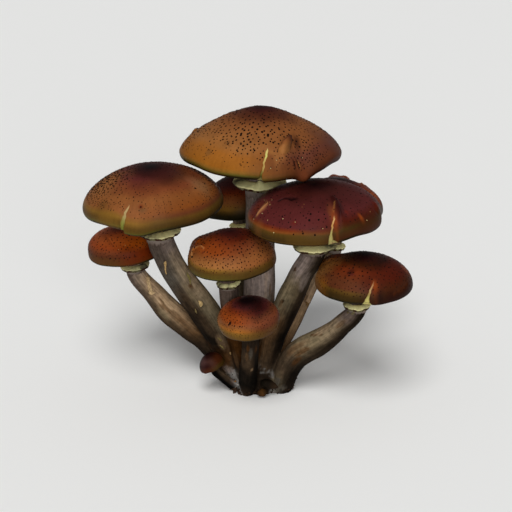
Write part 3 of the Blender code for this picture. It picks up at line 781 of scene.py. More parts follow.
# %% [markdown]
# ## Finishing a piece
# Every dressed piece rides on the tuft's one body and stands for the solid that it dresses.

# %% Finishing helper
def hand_in(name, bm, materials, slot, *nodes):
    """Makes the bmesh an object at the origin that rides on the tuft and stands for the named nodes."""
    mesh = bpy.data.meshes.new(name)
    bm.to_mesh(mesh)
    bm.free()
    for material in materials:
        mesh.materials.append(material)
    piece = bpy.data.objects.new(name, mesh)
    bpy.context.scene.collection.objects.link(piece)
    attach(piece, "root")
    if nodes:
        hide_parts(*nodes)
    triangles = sum(len(p.vertices) - 2 for p in mesh.polygons)
    print(f"{name}: {triangles} triangles")
    return piece


# %% [markdown]
# ## Skin of the caps
# The skin is moist and tight over pale flesh. Its pigment is densest at the crown and thins towards the
# margin, so the colour follows the radius: plum, rust, amber, olive. Each cap has two such ramps, blended
# across it: the one on the viewer's left is lighter with painted light, and the one on the right darker with
# painted shade, over the skin's own colours. Mottling and radial fibres break them up, and the torn slot shows
# the yellow-green flesh below.

# %% Pigments of each cap, with painted light and shade
# each cap's first ramp, for the viewer's left, is lighter with painted light, and its second, for the right, is
# darker with painted shade, over the skin's own colours. Past 1, down the margin's rolled edge, the last dark
# stops are painted shade
SKINS = {
    "crown": (
        [
            (0, "dark plum"), (0.14, "plum"), (0.30, "bark"), (0.45, "tan"), (0.78, "pale tan"),
            (0.88, "gold"), (0.985, "amber"), (1.003, "olive gold"), (1.018, "moss"), (1.034, "painted rim shade")],
        [
            (0, "dark plum"), (0.14, "plum"), (0.32, "bark"), (0.52, "tan"), (0.72, "tan"),
            (0.86, "purple brown"), (0.97, "bark"), (1.01, "umber"), (1.04, "dark umber")]),
    "left": (
        [
            (0, "black plum"), (0.12, "dark plum"), (0.26, "plum"), (0.40, "wine"), (0.58, "cinnamon"),
            (0.76, "tan"), (0.93, "tan"), (0.972, "olive gold"), (0.995, "olive"), (1.02, "moss"),
            (1.036, "painted rim shade")],
        [
            (0, "black plum"), (0.12, "dark plum"), (0.28, "plum"), (0.48, "bark"), (0.66, "cinnamon"),
            (0.78, "tan"), (0.91, "sienna"), (0.96, "bark"), (0.985, "olive"), (1.005, "dark olive"),
            (1.03, "painted rim shade")]),
    "red": (
        [
            (0, "black plum"), (0.16, "dark plum"), (0.36, "plum"), (0.55, "maroon"), (0.78, "wine"),
            (0.93, "wine"), (0.955, "rust"), (0.972, "sienna"), (0.984, "olive"), (1.006, "dark olive"),
            (1.024, "olive"), (1.036, "painted rim shade")],
        [
            (0, "black plum"), (0.18, "dark plum"), (0.36, "plum"), (0.55, "maroon"), (0.80, "wine"),
            (0.92, "oxblood"), (0.955, "umber"), (0.98, "dark olive"), (1.01, "umber"), (1.03, "painted rim shade")]),
    "right": (
        [
            (0, "black plum"), (0.20, "dark plum"), (0.40, "umber"), (0.62, "rust"), (0.85, "bark"),
            (0.93, "bark"), (0.965, "olive"), (0.99, "dark olive"), (1.03, "painted rim shade")],
        [
            (0, "black plum"), (0.22, "dark plum"), (0.40, "dark umber"), (0.60, "oxblood"),
            (0.80, "oxblood"), (0.92, "umber"), (1, "dark umber")]),
    "middle": (
        [
            (0, "dark plum"), (0.20, "plum"), (0.45, "rust"), (0.72, "orange rust"), (0.86, "tan"),
            (0.95, "pale tan"), (0.975, "olive gold"), (0.992, "olive"), (1.012, "moss"),
            (1.032, "painted rim shade")],
        [
            (0, "dark plum"), (0.20, "plum"), (0.40, "oxblood"), (0.62, "cinnamon"), (0.86, "tan"),
            (0.96, "tan"), (0.99, "olive"), (1.012, "dark olive"), (1.034, "painted rim shade")]),
    "front": (
        [
            (0, "black plum"), (0.18, "black plum"), (0.27, "dark plum"), (0.42, "maroon"), (0.56, "rust"),
            (0.72, "orange rust"), (0.84, "orange rust"), (0.93, "tan"), (0.972, "gold"),
            (0.99, "olive gold"), (1.01, "olive"), (1.034, "painted rim shade")],
        [
            (0, "black plum"), (0.30, "black plum"), (0.46, "dark plum"), (0.62, "maroon"), (0.78, "bark"),
            (0.90, "cinnamon"), (0.965, "bark"), (1, "olive"), (1.034, "painted rim shade")]),
    # low: both ramps are lighter than the skin itself. This is painted light that stands in for the light that
    # the left cap's shadow takes away
    "low": (
        [
            (0, "plum"), (0.25, "rust"), (0.38, "copper"), (0.68, "copper glow"), (0.87, "copper"),
            (0.95, "cinnamon"), (0.985, "bark"), (1.015, "olive"), (1.035, "painted rim shade")],
        [
            (0, "plum"), (0.22, "rust"), (0.38, "copper glow"), (0.60, "burnt orange"),
            (0.80, "burnt orange"), (0.92, "ember glow"), (0.96, "ember"), (0.995, "ember"),
            (1.015, "dark olive"), (1.035, "painted rim shade")]),
    "rear_left": (
        [
            (0, "dark plum"), (0.30, "plum"), (0.55, "maroon"), (0.75, "rust"), (0.90, "tan"),
            (0.97, "olive gold"), (1, "painted rim shade")],
        [
            (0, "dark plum"), (0.30, "plum"), (0.55, "maroon"), (0.75, "rust"), (0.90, "bark"),
            (1, "painted rim shade")]),
    "rear_right": (
        [
            (0, "dark plum"), (0.30, "plum"), (0.55, "maroon"), (0.80, "rust"), (0.93, "orange rust"),
            (1, "dark olive")],
        [
            (0, "dark plum"), (0.30, "plum"), (0.55, "rust"), (0.80, "orange rust"), (0.93, "ember"),
            (1, "dark olive")]),
    # tiny: the dusk stop in its left ramp is a painted lilac sheen
    "tiny": (
        [(0, "black plum"), (0.35, "dark plum"), (0.66, "dusk"), (0.88, "dark plum"), (1, "umber")],
        [(0, "black plum"), (0.40, "dark umber"), (0.70, "umber"), (0.90, "umber"), (1, "dark olive")]),
}
print("skins:", len(SKINS))


# %% Cap skin material
def cap_skin(name, left, right):
    """Moist skin: a lighter left ramp with painted light and a darker right ramp with painted shade over the
    radius, then mottling, radial fibres, stains and torn flesh.
    """
    material, tree, shader = new_material(f"moist cap skin, {name}")
    place = node(tree, "Attribute", attribute_name="place").outputs["Vector"]
    where = node(tree, "TexCoord").outputs["Object"]
    blotch = node(tree, "TexNoise", {"Vector": where, "Scale": 1 / (9 * MM), "Detail": 3.0}).outputs["Fac"]
    grain = node(tree, "TexNoise", {"Vector": where, "Scale": 1 / (1.1 * MM), "Detail": 4.0}).outputs["Fac"]

    share = node(tree, "VectorMath", {0: place}, operation="LENGTH").outputs["Value"]
    wander = node(tree, "Math", {0: blotch, 1: 0.16, 2: -0.08}, operation="MULTIPLY_ADD").outputs[0]
    ripe = node(tree, "Math", {0: share, 1: wander}, operation="ADD").outputs[0]
    # the rim's colour stays on the rim, where the wandering fades out
    rim = node(tree, "MapRange", {"Value": share, "From Min": 0.80, "From Max": 0.97}).outputs["Result"]
    ripe = node(tree, "Mix", {FACTOR: rim, 2: ripe, 3: share}, data_type="FLOAT").outputs[0]
    ripe = node(tree, "Math", {0: ripe, 1: RAMP_END}, operation="DIVIDE").outputs[0]
    ramps = [
        node(tree, "ValToRGB", {0: ripe}, stops).outputs[0]
        for stops in [[(at / RAMP_END, deep(PIGMENT[key])) for at, key in row] for row in (left, right)]
    ]
    # painted light and shade: across the cap the lighter left ramp turns into the darker right one
    across = node(tree, "SeparateXYZ", {0: place}).outputs["X"]
    side = node(
        tree, "MapRange", {"Value": across, "From Min": -0.35, "From Max": 0.50},
        interpolation_type="SMOOTHSTEP"
    ).outputs["Result"]
    base = node(
        tree, "Mix", {FACTOR: side, FIRST: ramps[0], SECOND: ramps[1]}, data_type="RGBA"
    ).outputs[MIXED]

    # fibres run from the crown to the margin: noise that is long along the radius and narrow round it
    around = node(tree, "VectorMath", {0: place}, operation="NORMALIZE").outputs[0]
    spread = node(tree, "VectorMath", {0: around, "Scale": 26.0}, operation="SCALE").outputs[0]
    outwards = node(tree, "CombineXYZ", {"Z": share}).outputs[0]
    lengthwise = node(tree, "VectorMath", {0: outwards, "Scale": 3.0}, operation="SCALE").outputs[0]
    fibre_place = node(tree, "VectorMath", {0: spread, 1: lengthwise}, operation="ADD").outputs[0]
    fibre = node(tree, "TexNoise", {"Vector": fibre_place, "Scale": 1.0, "Detail": 5.0}).outputs["Fac"]

    mottle = node(tree, "Math", {0: blotch, 1: 0.5, 2: 0.74}, operation="MULTIPLY_ADD").outputs[0]
    streak = node(tree, "Math", {0: fibre, 1: 0.35, 2: -0.17}, operation="MULTIPLY_ADD").outputs[0]
    tone = node(tree, "Math", {0: mottle, 1: streak}, operation="ADD").outputs[0]
    speck = node(tree, "Math", {0: grain, 1: 0.3, 2: 0.85}, operation="MULTIPLY_ADD").outputs[0]
    tone = node(tree, "Math", {0: tone, 1: speck}, operation="MULTIPLY").outputs[0]
    shade = node(tree, "CombineXYZ", {"X": tone, "Y": tone, "Z": tone}).outputs[0]
    base = node(tree, "VectorMath", {0: base, 1: shade}, operation="MULTIPLY").outputs[0]
    stain = node(tree, "Attribute", attribute_name="stain")
    cover = node(
        tree, "Math", {0: stain.outputs["Alpha"], 1: speck}, operation="MULTIPLY", use_clamp=True
    ).outputs[0]
    colour = node(
        tree, "Mix", {FACTOR: cover, FIRST: base, SECOND: stain.outputs["Color"]}, data_type="RGBA"
    ).outputs[MIXED]

    rough = node(tree, "Math", {0: blotch, 1: 0.22, 2: 0.38}, operation="MULTIPLY_ADD").outputs[0]
    relief = node(tree, "Math", {0: fibre, 1: grain}, operation="ADD").outputs[0]
    bump = node(tree, "Bump", {"Height": relief, "Strength": 0.35, "Distance": 0.12 * MM}).outputs["Normal"]
    feed(tree, shader, {"Base Color": colour, "Roughness": rough, "Normal": bump})
    feed(tree, shader, {"Specular IOR Level": 0.045})
    return material


# %% [markdown]
# ## Gills
# Honey fungus gills start cream and turn pinkish buff, with rusty flecks as they age. They are matt and
# slightly translucent, so their edges look paler than the valleys between them.

# %% Gill material
def gill_flesh():
    """Matt pinkish buff with rusty flecks."""
    material, tree, shader = new_material("matt gill flesh")
    where = node(tree, "TexCoord").outputs["Object"]
    cloud = node(tree, "TexNoise", {"Vector": where, "Scale": 1 / (6 * MM), "Detail": 3.0}).outputs["Fac"]
    fleck = node(tree, "TexNoise", {"Vector": where, "Scale": 1 / (1.3 * MM), "Detail": 2.0}).outputs["Fac"]
    base = node(tree, "ValToRGB", {0: cloud}, [(0.3, linear("#8c6f4a")), (0.7, linear("#b59a6c"))]).outputs[0]
    rusty = node(
        tree, "MapRange", {"Value": fleck, "From Min": 0.62, "From Max": 0.74, "To Max": 0.6}
    ).outputs["Result"]
    colour = node(
        tree, "Mix", {FACTOR: rusty, FIRST: base, SECOND: linear("#6b3c1e")}, data_type="RGBA"
    ).outputs[MIXED]
    feed(tree, shader, {"Base Color": colour, "Roughness": 0.75, "Specular IOR Level": 0.2})
    return material


# %% Build the caps
gills = gill_flesh()
caps = {}
for name, cap in MUSHROOMS.items():
    skin = cap_skin(name, *SKINS[name])
    caps[name] = hand_in(f"cap_{name}_skin", build_cap(name, cap), [skin, gills], "cap", f"cap_{name}")

# %% [markdown]
# ## Scales on the caps
# The dark dots on a honey fungus are tufts of fibres that stayed behind when the young cap's outer coat broke
# up. They keep an even distance, like the seeds of a sunflower, so their places come from the same spiral.
# They stand closest on the crown, grow sparse and reddish towards the rim, and are missing where rain or a
# neighbour rubbed them off.

# %% Where scales stand
GOLDEN_ANGLE = 137.508
CELL_AREA = 0.87  # of the ground that one scale has, in squares of the spacing
SCALE_JITTER = 0.30  # share of the spacing
STAYING = 0.93  # share of the scales that time has left on
# the pale spots, partly yellow warts and partly painted glints, are drawn smaller than the table's sizes
GLINT = 0.78  # a worn tip is smaller than the table's sizes
SCALES = {
    # spacing and size in mm, start and end in shares of the radius, tone as for SPOTS
    # a zone is (angle, share, reach in shares, how many stay, how large)
    "crown": dict(
        spacing=1.92, size=0.58, start=0.14, end=0.97, tone=0.10,
        zones=[
            (75, 0.90, 0.36, 0.06, 0.7), (-60, 0.95, 0.34, 0.25, 0.7), (-32, 0.92, 0.26, 0.12, 0.7),
            (0, 1, 0.36, 0.22, 0.75), (-5, 0.6, 0.38, 1.05, 1.28), (75, 0.5, 0.35, 1, 0.7),
            (180, 0.95, 0.4, 0.5, 0.8)]),
    "left": dict(
        spacing=1.5, size=0.42, start=0.16, end=0.94, tone=0.10,
        zones=[
            (60, 0.5, 0.45, 0.35, 0.6), (40, 0.9, 0.4, 0.28, 0.9), (-85, 0.62, 0.42, 1.07, 1.75),
            (-20, 0.85, 0.4, 0.3, 0.9), (0, 0.3, 0.3, 0.35, 0.6), (12, 0.66, 0.34, 0.4, 0.6)]),
    "red": dict(spacing=2.9, size=0.42, start=0.15, end=0.95, tone=0.10, zones=[(0, 0.2, 0.3, 0.5, 0.8)]),
    "right": dict(spacing=2.2, size=0.46, start=0.15, end=0.985, tone=0.12, zones=[(90, 0.8, 0.3, 0.6, 0.9)]),
    "middle": dict(
        spacing=1.95, size=0.52, start=0.18, end=0.992, tone=0.34, zones=[(-60, 0.8, 0.25, 0.4, 0.8)]),
    "front": dict(
        spacing=1.6, size=0.36, start=0.25, end=0.999, tone=0.25, zones=[(0, 0.93, 0.15, 0.6, 0.8)]),
    "low": dict(spacing=2.1, size=0.46, start=0.20, end=0.998, tone=0.15, zones=[(-60, 0.8, 0.3, 0.6, 1)]),
    "rear_left": dict(spacing=2, size=0.36, start=0.15, end=0.96, tone=0.3, zones=[]),
    "rear_right": dict(spacing=2.2, size=0.38, start=0.15, end=0.96, tone=0.3, zones=[]),
    "tiny": dict(spacing=1.3, size=0.14, start=0.20, end=0.90, tone=0.2, zones=[]),
}
# Single spots that stand out: (angle, share, half-length in mm, tone), where 0 is black, 0.5 red-brown, 1
# yellow. The crown's pale spots are painted glints, and the pale ones elsewhere are partly yellow warts and
# partly painted glints.
SPOTS = {
    "crown": [
        (-32.5, 0.73, 0.95, 0), (-41.5, 0.865, 0.5, 0.05), (-45, 0.87, 0.4, 0.1), (12, 0.89, 0.35, 1),
        (7, 0.95, 0.35, 1), (35, 0.87, 0.35, 0.95)],
    "left": [(58, 0.75, 0.7, 0.1), (90.5, 0.81, 0.7, 0.1), (76.5, 0.78, 0.6, 0.15), (-7, 0.82, 0.7, 0.5)],
    "red": [
        (-62.5, 0.86, 0.4, 1), (-84.5, 0.73, 0.4, 0.9), (-71.5, 0.65, 0.35, 0.9), (-64, 0.72, 0.4, 0.9),
        (-34, 0.84, 0.4, 1), (-20.5, 0.86, 0.35, 0.95), (-38.5, 0.98, 0.4, 1), (-18, 0.62, 0.3, 0.8),
        (-16.5, 0.56, 0.3, 0.8), (48.5, 0.96, 0.4, 0.95), (-69, 0.95, 0.4, 1), (5, 0.93, 0.4, 0.9),
        (60, 0.9, 0.35, 0.85), (-50, 0.9, 0.35, 0.9), (-6, 0.74, 0.7, 0.05), (-7, 0.83, 0.8, 0.05),
        (2, 0.83, 0.6, 0.08), (9, 0.82, 0.5, 0.08), (8.5, 0.92, 0.6, 0.08), (-2, 0.975, 0.65, 0.1),
        (-12, 0.965, 0.65, 0.1), (-20, 0.975, 0.5, 0.15), (-36, 0.81, 0.55, 0.1), (-24, 0.92, 0.5, 0.15),
        (36, 0.93, 0.5, 0.1)],
    "right": [(-31.5, 0.62, 0.7, 0.15)],
    "middle": [(-50, 0.74, 0.6, 0.3), (-68.5, 0.93, 0.7, 0.1)],
    "front": [
        (-40, 0.86, 0.9, 0.05), (-42, 0.90, 0.5, 0.05), (-27.5, 0.90, 0.45, 0.05), (-17, 0.90, 0.45, 0.05)],
    "low": [
        (-19, 0.99, 0.5, 0.1), (-11, 0.99, 0.45, 0.1), (2.5, 0.99, 0.5, 0.1), (10, 0.99, 0.45, 0.1),
        (18.5, 0.99, 0.5, 0.1), (6, 0.79, 0.5, 0.85), (-6, 0.88, 0.4, 0.85)],
}


def scale_places(name, cap):
    """[(angle, share, half-length, tone)] for all scales of a cap."""
    rule = SCALES[name]
    chance = random.Random(name)
    area = pi * cap["radius"] ** 2 + pi * (cap["rise"] + cap["umbo"]) ** 2
    count = round(area / (CELL_AREA * rule["spacing"] ** 2))
    jitter = SCALE_JITTER * rule["spacing"] / cap["radius"]
    places = [
        (angle, share, size * (GLINT if tone > 0.7 else 1.0), tone)
        for angle, share, size, tone in SPOTS.get(name, [])
    ]
    for k in range(count):
        run = sqrt((k + 0.5) / count) + chance.uniform(-jitter, jitter)
        angle = k * GOLDEN_ANGLE + degrees(chance.uniform(-jitter, jitter) / max(0.1, run))
        share = sin(pi / 2 * min(1.0, max(0.0, run)) ** 0.95)
        keep, size = STAYING, rule["size"] * chance.uniform(0.7, 1.25)
        for middle, at, reach, kept, bigger in rule["zones"]:
            off = radians(apart(angle, middle))
            distance = hypot(share * cos(off) - at, share * sin(off))
            if distance < reach:
                weight = 1 - (distance / reach) ** 2
                keep *= 1 + (kept - 1) * weight
                size *= 1 + (bigger - 1) * weight
        if not rule["start"] < share < rule["end"] or chance.random() > keep:
            continue
        if cap["crack"] and share > cap["crack"]["start"] - 0.02:
            line, left, right = crack_line(cap["crack"], crack_run(cap["crack"], share))
            if abs(radians(apart(angle, line))) * share * cap["radius"] < max(left, right) + size:
                continue
        edge = max(0.0, (share - 0.75) / 0.25)
        tone = rule["tone"] * chance.uniform(0.3, 1.3) + 0.25 * edge
        places.append((angle, share, size * (1 - 0.3 * edge), min(0.6, tone)))
    return places


# %% Where the skin lies
def skin_frame(cap, angle, share):
    """A place on the skin with its outward normal and the way down the cap, in the cap's frame."""
    here = skin_point(cap, angle, share)
    down = (skin_point(cap, angle, min(0.998, share + 0.01)) - here).normalized()
    if down.length < 0.5:
        down = (here - skin_point(cap, angle, share - 0.01)).normalized()
    around = (skin_point(cap, angle + 1.0, share) - here).normalized()
    return here, around.cross(down).normalized() * -1, down


# %% [markdown]
# ## Sheets of faces
# Stems, rings, strips and scraps are all sheets: a grid whose corners are laid along a form. One helper lays
# the grid and joins the seam where a sheet meets itself, and a second closes a rolled sheet to a tube.

# %% Curves and sheets
def blended(a, b, c, d, t):
    """A Catmull-Rom curve through b and c."""
    return 0.5 * (2 * b + (c - a) * t + (2 * a - 5 * b + 4 * c - d) * t**2 + (3 * b - a - 3 * c + d) * t**3)


def lay_sheet(bm, across, along, put):
    """Lays a new grid of across by along faces: put(vertex, i, j) places each of its corners."""
    made = bmesh.ops.create_grid(bm, x_segments=across, y_segments=along, size=0.5)["verts"]
    for vertex in made:
        i = round((vertex.co.x + 0.5) * across)
        j = round((vertex.co.y + 0.5) * along)
        put(vertex, i, j)
    bmesh.ops.remove_doubles(bm, verts=made, dist=1e-7)


def lay_tube(bm, sides, count, put):
    """Lays a tube of count rings: put(vertex, turn, k, full) places each corner of ring k. turn is in
    radians, and full is 0 where the tube closes to a point at its ends and 1 elsewhere."""

    def put_corner(vertex, i, j):
        full = 0.0 if j in (0, count + 1) else 1.0
        put(vertex, tau * (i % sides) / sides, min(max(j - 1, 0), count - 1), full)

    lay_sheet(bm, sides, count + 1, put_corner)


def smooth_path(stations, steps):
    """A smooth curve through the stations, with that many points from each station to the next."""
    stops = [Vector(station) for station in stations]
    stops = [2 * stops[0] - stops[1], *stops, 2 * stops[-1] - stops[-2]]
    spans = zip(stops, stops[1:], stops[2:], stops[3:])
    return [blended(*span, step / steps) for span in spans for step in range(steps)] + [stops[-2]]


def smoothed(bm):
    """The same bmesh, with smooth faces that look outwards."""
    for face in bm.faces:
        face.smooth = True
    bmesh.ops.recalc_face_normals(bm, faces=bm.faces)
    return bm


# %% A finger of skin
# (angle, share, lift in mm, radius in mm, colour) from its root on the crown's skin to its tip
FINGER = [
    (18.6, 0.845, -3.4, 2.6, "pale tan"), (20.6, 0.795, -1.6, 3.1, "pale tan"), (23, 0.75, 0.2, 3, "tan"),
    (25.7, 0.705, 1.8, 2.5, "bark"), (28.6, 0.665, 2.8, 1.8, "plum"), (31.5, 0.625, 3.2, 1, "dark plum"),
]
FINGER_SIDES = 28
FINGER_STEPS = 7


def build_finger(cap):
    """A closed finger that rises out of the skin, pale at its root and plum at its tip, with painted shade on
    its right side.
    """
    path = smooth_path([station[:4] for station in FINGER], FINGER_STEPS)
    colours = [Vector(deep(PIGMENT[station[4]])[:3]) for station in FINGER]
    count = len(path)
    matrix = cap_matrix(cap)
    bm = bmesh.new()
    place = bm.verts.layers.float_vector.new("place")
    stain_and_light_of = bm.verts.layers.float_color.new("stain")

    def put(vertex, turn, k, full):
        angle, share, lift, radius = path[k]
        here, normal, down = skin_frame(cap, angle, share)
        if normal.z < 0:
            normal.negate()
        across = normal.cross(down)
        size = full * radius * sqrt(1 - (k / (count - 1)) ** 6)
        lumpy = 1 + 0.12 * noise.noise(here / 1.5 + Vector((turn, 0, 0)))
        out = across * cos(turn) + normal * sin(turn)
        vertex.co = matrix @ (here + normal * lift * 0.6 + out * size * lumpy)
        step, part = divmod(k / FINGER_STEPS, 1)
        tint = colours[int(step)].lerp(colours[min(len(colours) - 1, int(step) + 1)], part)
        # painted shade: the finger's right side is darkened towards dark plum, most near its tip
        from_right = abs(apart(degrees(turn), 0))  # the finger's right side lies in its own shade
        shadow = min(1.0, max(0.0, (105 - from_right) / 45)) * (0.45 + 0.55 * k / count)
        vertex[stain_and_light_of] = (*tint.lerp(Vector(deep(PIGMENT["dark plum"])[:3]), 0.9 * shadow), 0.95)
        turned = radians(angle)
        vertex[place] = (share * sin(turned), -share * cos(turned), 0.0)

    lay_tube(bm, FINGER_SIDES, count, put)
    return smoothed(bm)


crown_skin = caps["crown"].data.materials[0]
hand_in("cap_crown_finger", build_finger(MUSHROOMS["crown"]), [crown_skin], "cap")

# %% Scales as meshes
SCALE_WIDTH = 0.80  # share of a scale's length
SCALE_THICKNESS = 0.45
SCALE_SINK = 0.10  # share of its length that a scale stands into the skin


def build_scales(name, cap):
    """All scales of a cap as small flattened tufts that stand a little into the skin."""
    bm = bmesh.new()
    tone_of = bm.verts.layers.float.new("tone")
    matrix = cap_matrix(cap)
    for angle, share, size, tone in scale_places(name, cap):
        here, normal, down = skin_frame(cap, angle, share)
        if normal.z < -0.2:
            normal.negate()
        across = normal.cross(down)
        turn = Matrix((across, down, normal)).transposed().to_4x4()
        half = Matrix.Diagonal((size * SCALE_WIDTH, size, size * SCALE_THICKNESS, 1.0))
        at = Matrix.Translation(here - normal * size * SCALE_SINK)
        made = bmesh.ops.create_icosphere(bm, subdivisions=1, radius=1.0, matrix=matrix @ at @ turn @ half)
        for vertex in made["verts"]:
            vertex[tone_of] = tone
    for face in bm.faces:
        face.smooth = True
    return bm


def scale_fibre():
    """Dry fibre tufts, black-brown or red-brown; the pale yellow to cream spots are partly yellow warts and
    partly painted glints.
    """
    material, tree, shader = new_material("dry scale fibres and painted glints")
    tone = node(tree, "Attribute", attribute_name="tone").outputs["Fac"]
    # the pale end of the ramp serves the yellow warts and the painted glints
    stops = [(0.0, "#070302"), (0.25, "#180a05"), (0.55, "#3a170a"), (0.78, "#95602a"), (1.0, "#cdbc84")]
    ramp = node(tree, "ValToRGB", {0: tone}, [(at, linear(code)) for at, code in stops])
    feed(tree, shader, {"Base Color": ramp.outputs[0], "Roughness": 0.7, "Specular IOR Level": 0.05})
    return material


fibres = scale_fibre()
for name, cap in MUSHROOMS.items():
    hand_in(f"cap_{name}_scales", build_scales(name, cap), [fibres], "cap")

# %% [markdown]
# ## The way of a stem
# Each stem follows the same bent line as its solid, from inside the foot to its seat in the cap. The line
# carries its radius and a frame, so that fibres, stains and flakes can be placed by distance and angle.

# %% Stem routes
SEAT_GAP = 0.3  # mm that a stem stops short of its seat
ROUTE_STEP = 1.0  # mm between sections
BARE_NECK = 1.2  # how far a neck with no ring runs straight, in its own radii


def direction(lean):
    """The way up of a cap with that lean."""
    right, forward = (radians(a) for a in lean)
    return Vector((sin(right) * cos(forward), -sin(forward), cos(right) * cos(forward)))


def stem_route(cap):
    """[(centre, radius, front, side, along)] in millimetres, from the ground to the seat."""
    axis = direction(cap["lean"])
    rim = Vector(cap["rim"])
    below = 1.0 + BARE_NECK * cap["neck"]
    if cap["ring"]:
        below = 1.0 + cap["ring"][0] + cap["ring"][2]
    neck = rim - axis * below
    bent = [Vector(point) for point in cap["stem"]] + [Vector((*neck, cap["neck"]))]
    bent = [2 * bent[0] - bent[1], *bent, Vector((*rim, cap["neck"]))]
    line = []
    for a, b, c, d in zip(bent, bent[1:], bent[2:], bent[3:]):
        pieces = max(1, round((c - b).to_3d().length / ROUTE_STEP))
        line += [blended(a, b, c, d, i / pieces) for i in range(pieces)]
    seat = rim + axis * (SEAT_RISE * cap["hollow"] - SEAT_GAP)
    pieces = round((seat - neck).length / ROUTE_STEP)
    line += [Vector((*neck.lerp(seat, i / pieces), cap["neck"])) for i in range(pieces + 1)]
    route = []
    along = 0.0
    for i, point in enumerate(line):
        centre = point.to_3d()
        before, after = line[max(0, i - 1)].to_3d(), line[min(len(line) - 1, i + 1)].to_3d()
        tangent = (after - before).normalized()
        front = (Vector((0, -1, 0)) + tangent * tangent.y).normalized()
        along += (centre - before).length
        route.append((centre, point[3], front, tangent.cross(front), along))
    return route


ROUTES = {name: stem_route(cap) for name, cap in MUSHROOMS.items()}
for name, route in ROUTES.items():
    print(f"stem {name}: {route[-1][4]:.0f} mm long")

# %% [markdown]
# ## Flesh of the stems
# A stem is a bundle of tough fibres. Its top is mauve-grey where the veil kept it clean, its middle olive or
# straw, and its foot is dark, partly with soil and partly with painted shade. Every stem has a side with
# painted light and a side with painted shade. A stem's two colour rows, for these sides, are blended round it
# and written on its points, and the foot reads the same rows, so both pieces match where they meet.

# %% Colours along the stems
EARTH = {
    "black soot": "#0b0805", "soot": "#15100b", "deep russet": "#2a1807", "olive stone": "#86745c",
    "pale mauve": "#8b7c74", "bright straw": "#9d8365", "dusty mauve": "#94826f", "peat": "#241b13",
    "earth": "#392c1f", "drab": "#4b3d2e", "grey drab": "#4a443c", "wood": "#573f28", "russet": "#43280f",
    "olive drab": "#5d5340", "olive buff": "#6d6049", "mauve drab": "#4f423a", "mauve grey": "#665850",
    "pink grey": "#6f625a", "straw": "#846b50", "pale straw": "#957c62", "mould": "#86827d",
    "dark mould": "#625e5a",
}
STEM_LOOKS = {
    # the angle of the side with painted light, how much painted shade darkens the far side, then (share of the
    # length, colour) rows for the painted lit side and the painted shaded side, whose dark low stops are partly
    # soil and partly painted shade
    "crown": (
        -10, 0.4,
        [
            (0, "peat"), (0.2, "earth"), (0.33, "olive drab"), (0.42, "pale mauve"), (0.52, "pale mauve"),
            (0.8, "pink grey")],
        [(0, "soot"), (0.25, "peat"), (0.42, "drab"), (0.85, "drab")]),
    "left": (
        95, 0.2,
        [
            (0, "dark mould"), (0.12, "drab"), (0.2, "wood"), (0.3, "drab"), (0.42, "olive buff"),
            (0.55, "olive stone"), (0.70, "olive stone"), (0.80, "pink grey"), (0.95, "mauve drab")],
        [
            (0, "drab"), (0.1, "drab"), (0.18, "russet"), (0.3, "soot"), (0.42, "peat"), (0.55, "earth"),
            (0.66, "grey drab"), (0.85, "mauve drab"), (1, "peat")]),
    "red": (
        -75, 0.6,
        [
            (0, "mould"), (0.09, "mould"), (0.15, "drab"), (0.3, "wood"), (0.42, "wood"), (0.5, "olive drab"),
            (0.62, "olive buff"), (0.72, "pale mauve"), (0.9, "mauve drab")],
        [
            (0, "dark mould"), (0.12, "drab"), (0.2, "peat"), (0.34, "soot"), (0.46, "peat"), (0.6, "earth"),
            (0.7, "drab"), (0.82, "earth"), (1, "earth")]),
    "right": (
        -85, 0.72,
        [
            (0, "mould"), (0.1, "olive drab"), (0.2, "drab"), (0.3, "drab"), (0.4, "olive buff"),
            (0.5, "olive buff"), (0.66, "olive stone"), (0.8, "mauve grey"), (1, "pink grey")],
        [
            (0, "earth"), (0.1, "peat"), (0.22, "soot"), (0.4, "drab"), (0.55, "earth"), (0.75, "earth"),
            (1, "peat")]),
    "middle": (
        -30, 0.3,
        [
            (0, "dark mould"), (0.12, "grey drab"), (0.2, "peat"), (0.35, "deep russet"), (0.6, "russet"),
            (0.75, "mauve drab")],
        [(0, "earth"), (0.2, "soot"), (0.4, "deep russet"), (0.8, "mauve drab")]),
    "front": (
        -60, 0.15,
        [
            (0, "earth"), (0.1, "peat"), (0.2, "black soot"), (0.38, "soot"), (0.52, "earth"),
            (0.66, "earth"), (0.8, "peat")],
        [(0, "black soot"), (0.45, "black soot"), (0.6, "soot"), (0.75, "peat"), (1, "soot")]),
    "low": (
        75, 0.28,
        [
            (0, "earth"), (0.3, "earth"), (0.42, "wood"), (0.5, "straw"), (0.6, "bright straw"),
            (0.76, "bright straw"), (0.86, "dusty mauve"), (1, "mauve grey")],
        [(0, "soot"), (0.35, "peat"), (0.5, "earth"), (0.65, "drab"), (1, "mauve grey")]),
    "rear_left": (
        -60, 0.4, [(0, "peat"), (0.4, "drab"), (0.8, "olive drab"), (1, "mauve grey")],
        [(0, "soot"), (0.5, "earth"), (1, "mauve drab")]),
    "rear_right": (
        -20, 0.35, [(0, "peat"), (0.2, "wood"), (0.35, "straw"), (0.5, "pale straw"), (1, "olive drab")],
        [(0, "soot"), (0.3, "earth"), (0.5, "wood"), (1, "drab")]),
    "tiny": (
        105, 0.8, [(0, "mould"), (0.2, "mould"), (0.3, "mauve grey"), (0.42, "drab"), (1, "earth")],
        [(0, "soot"), (1, "soot")]),
}
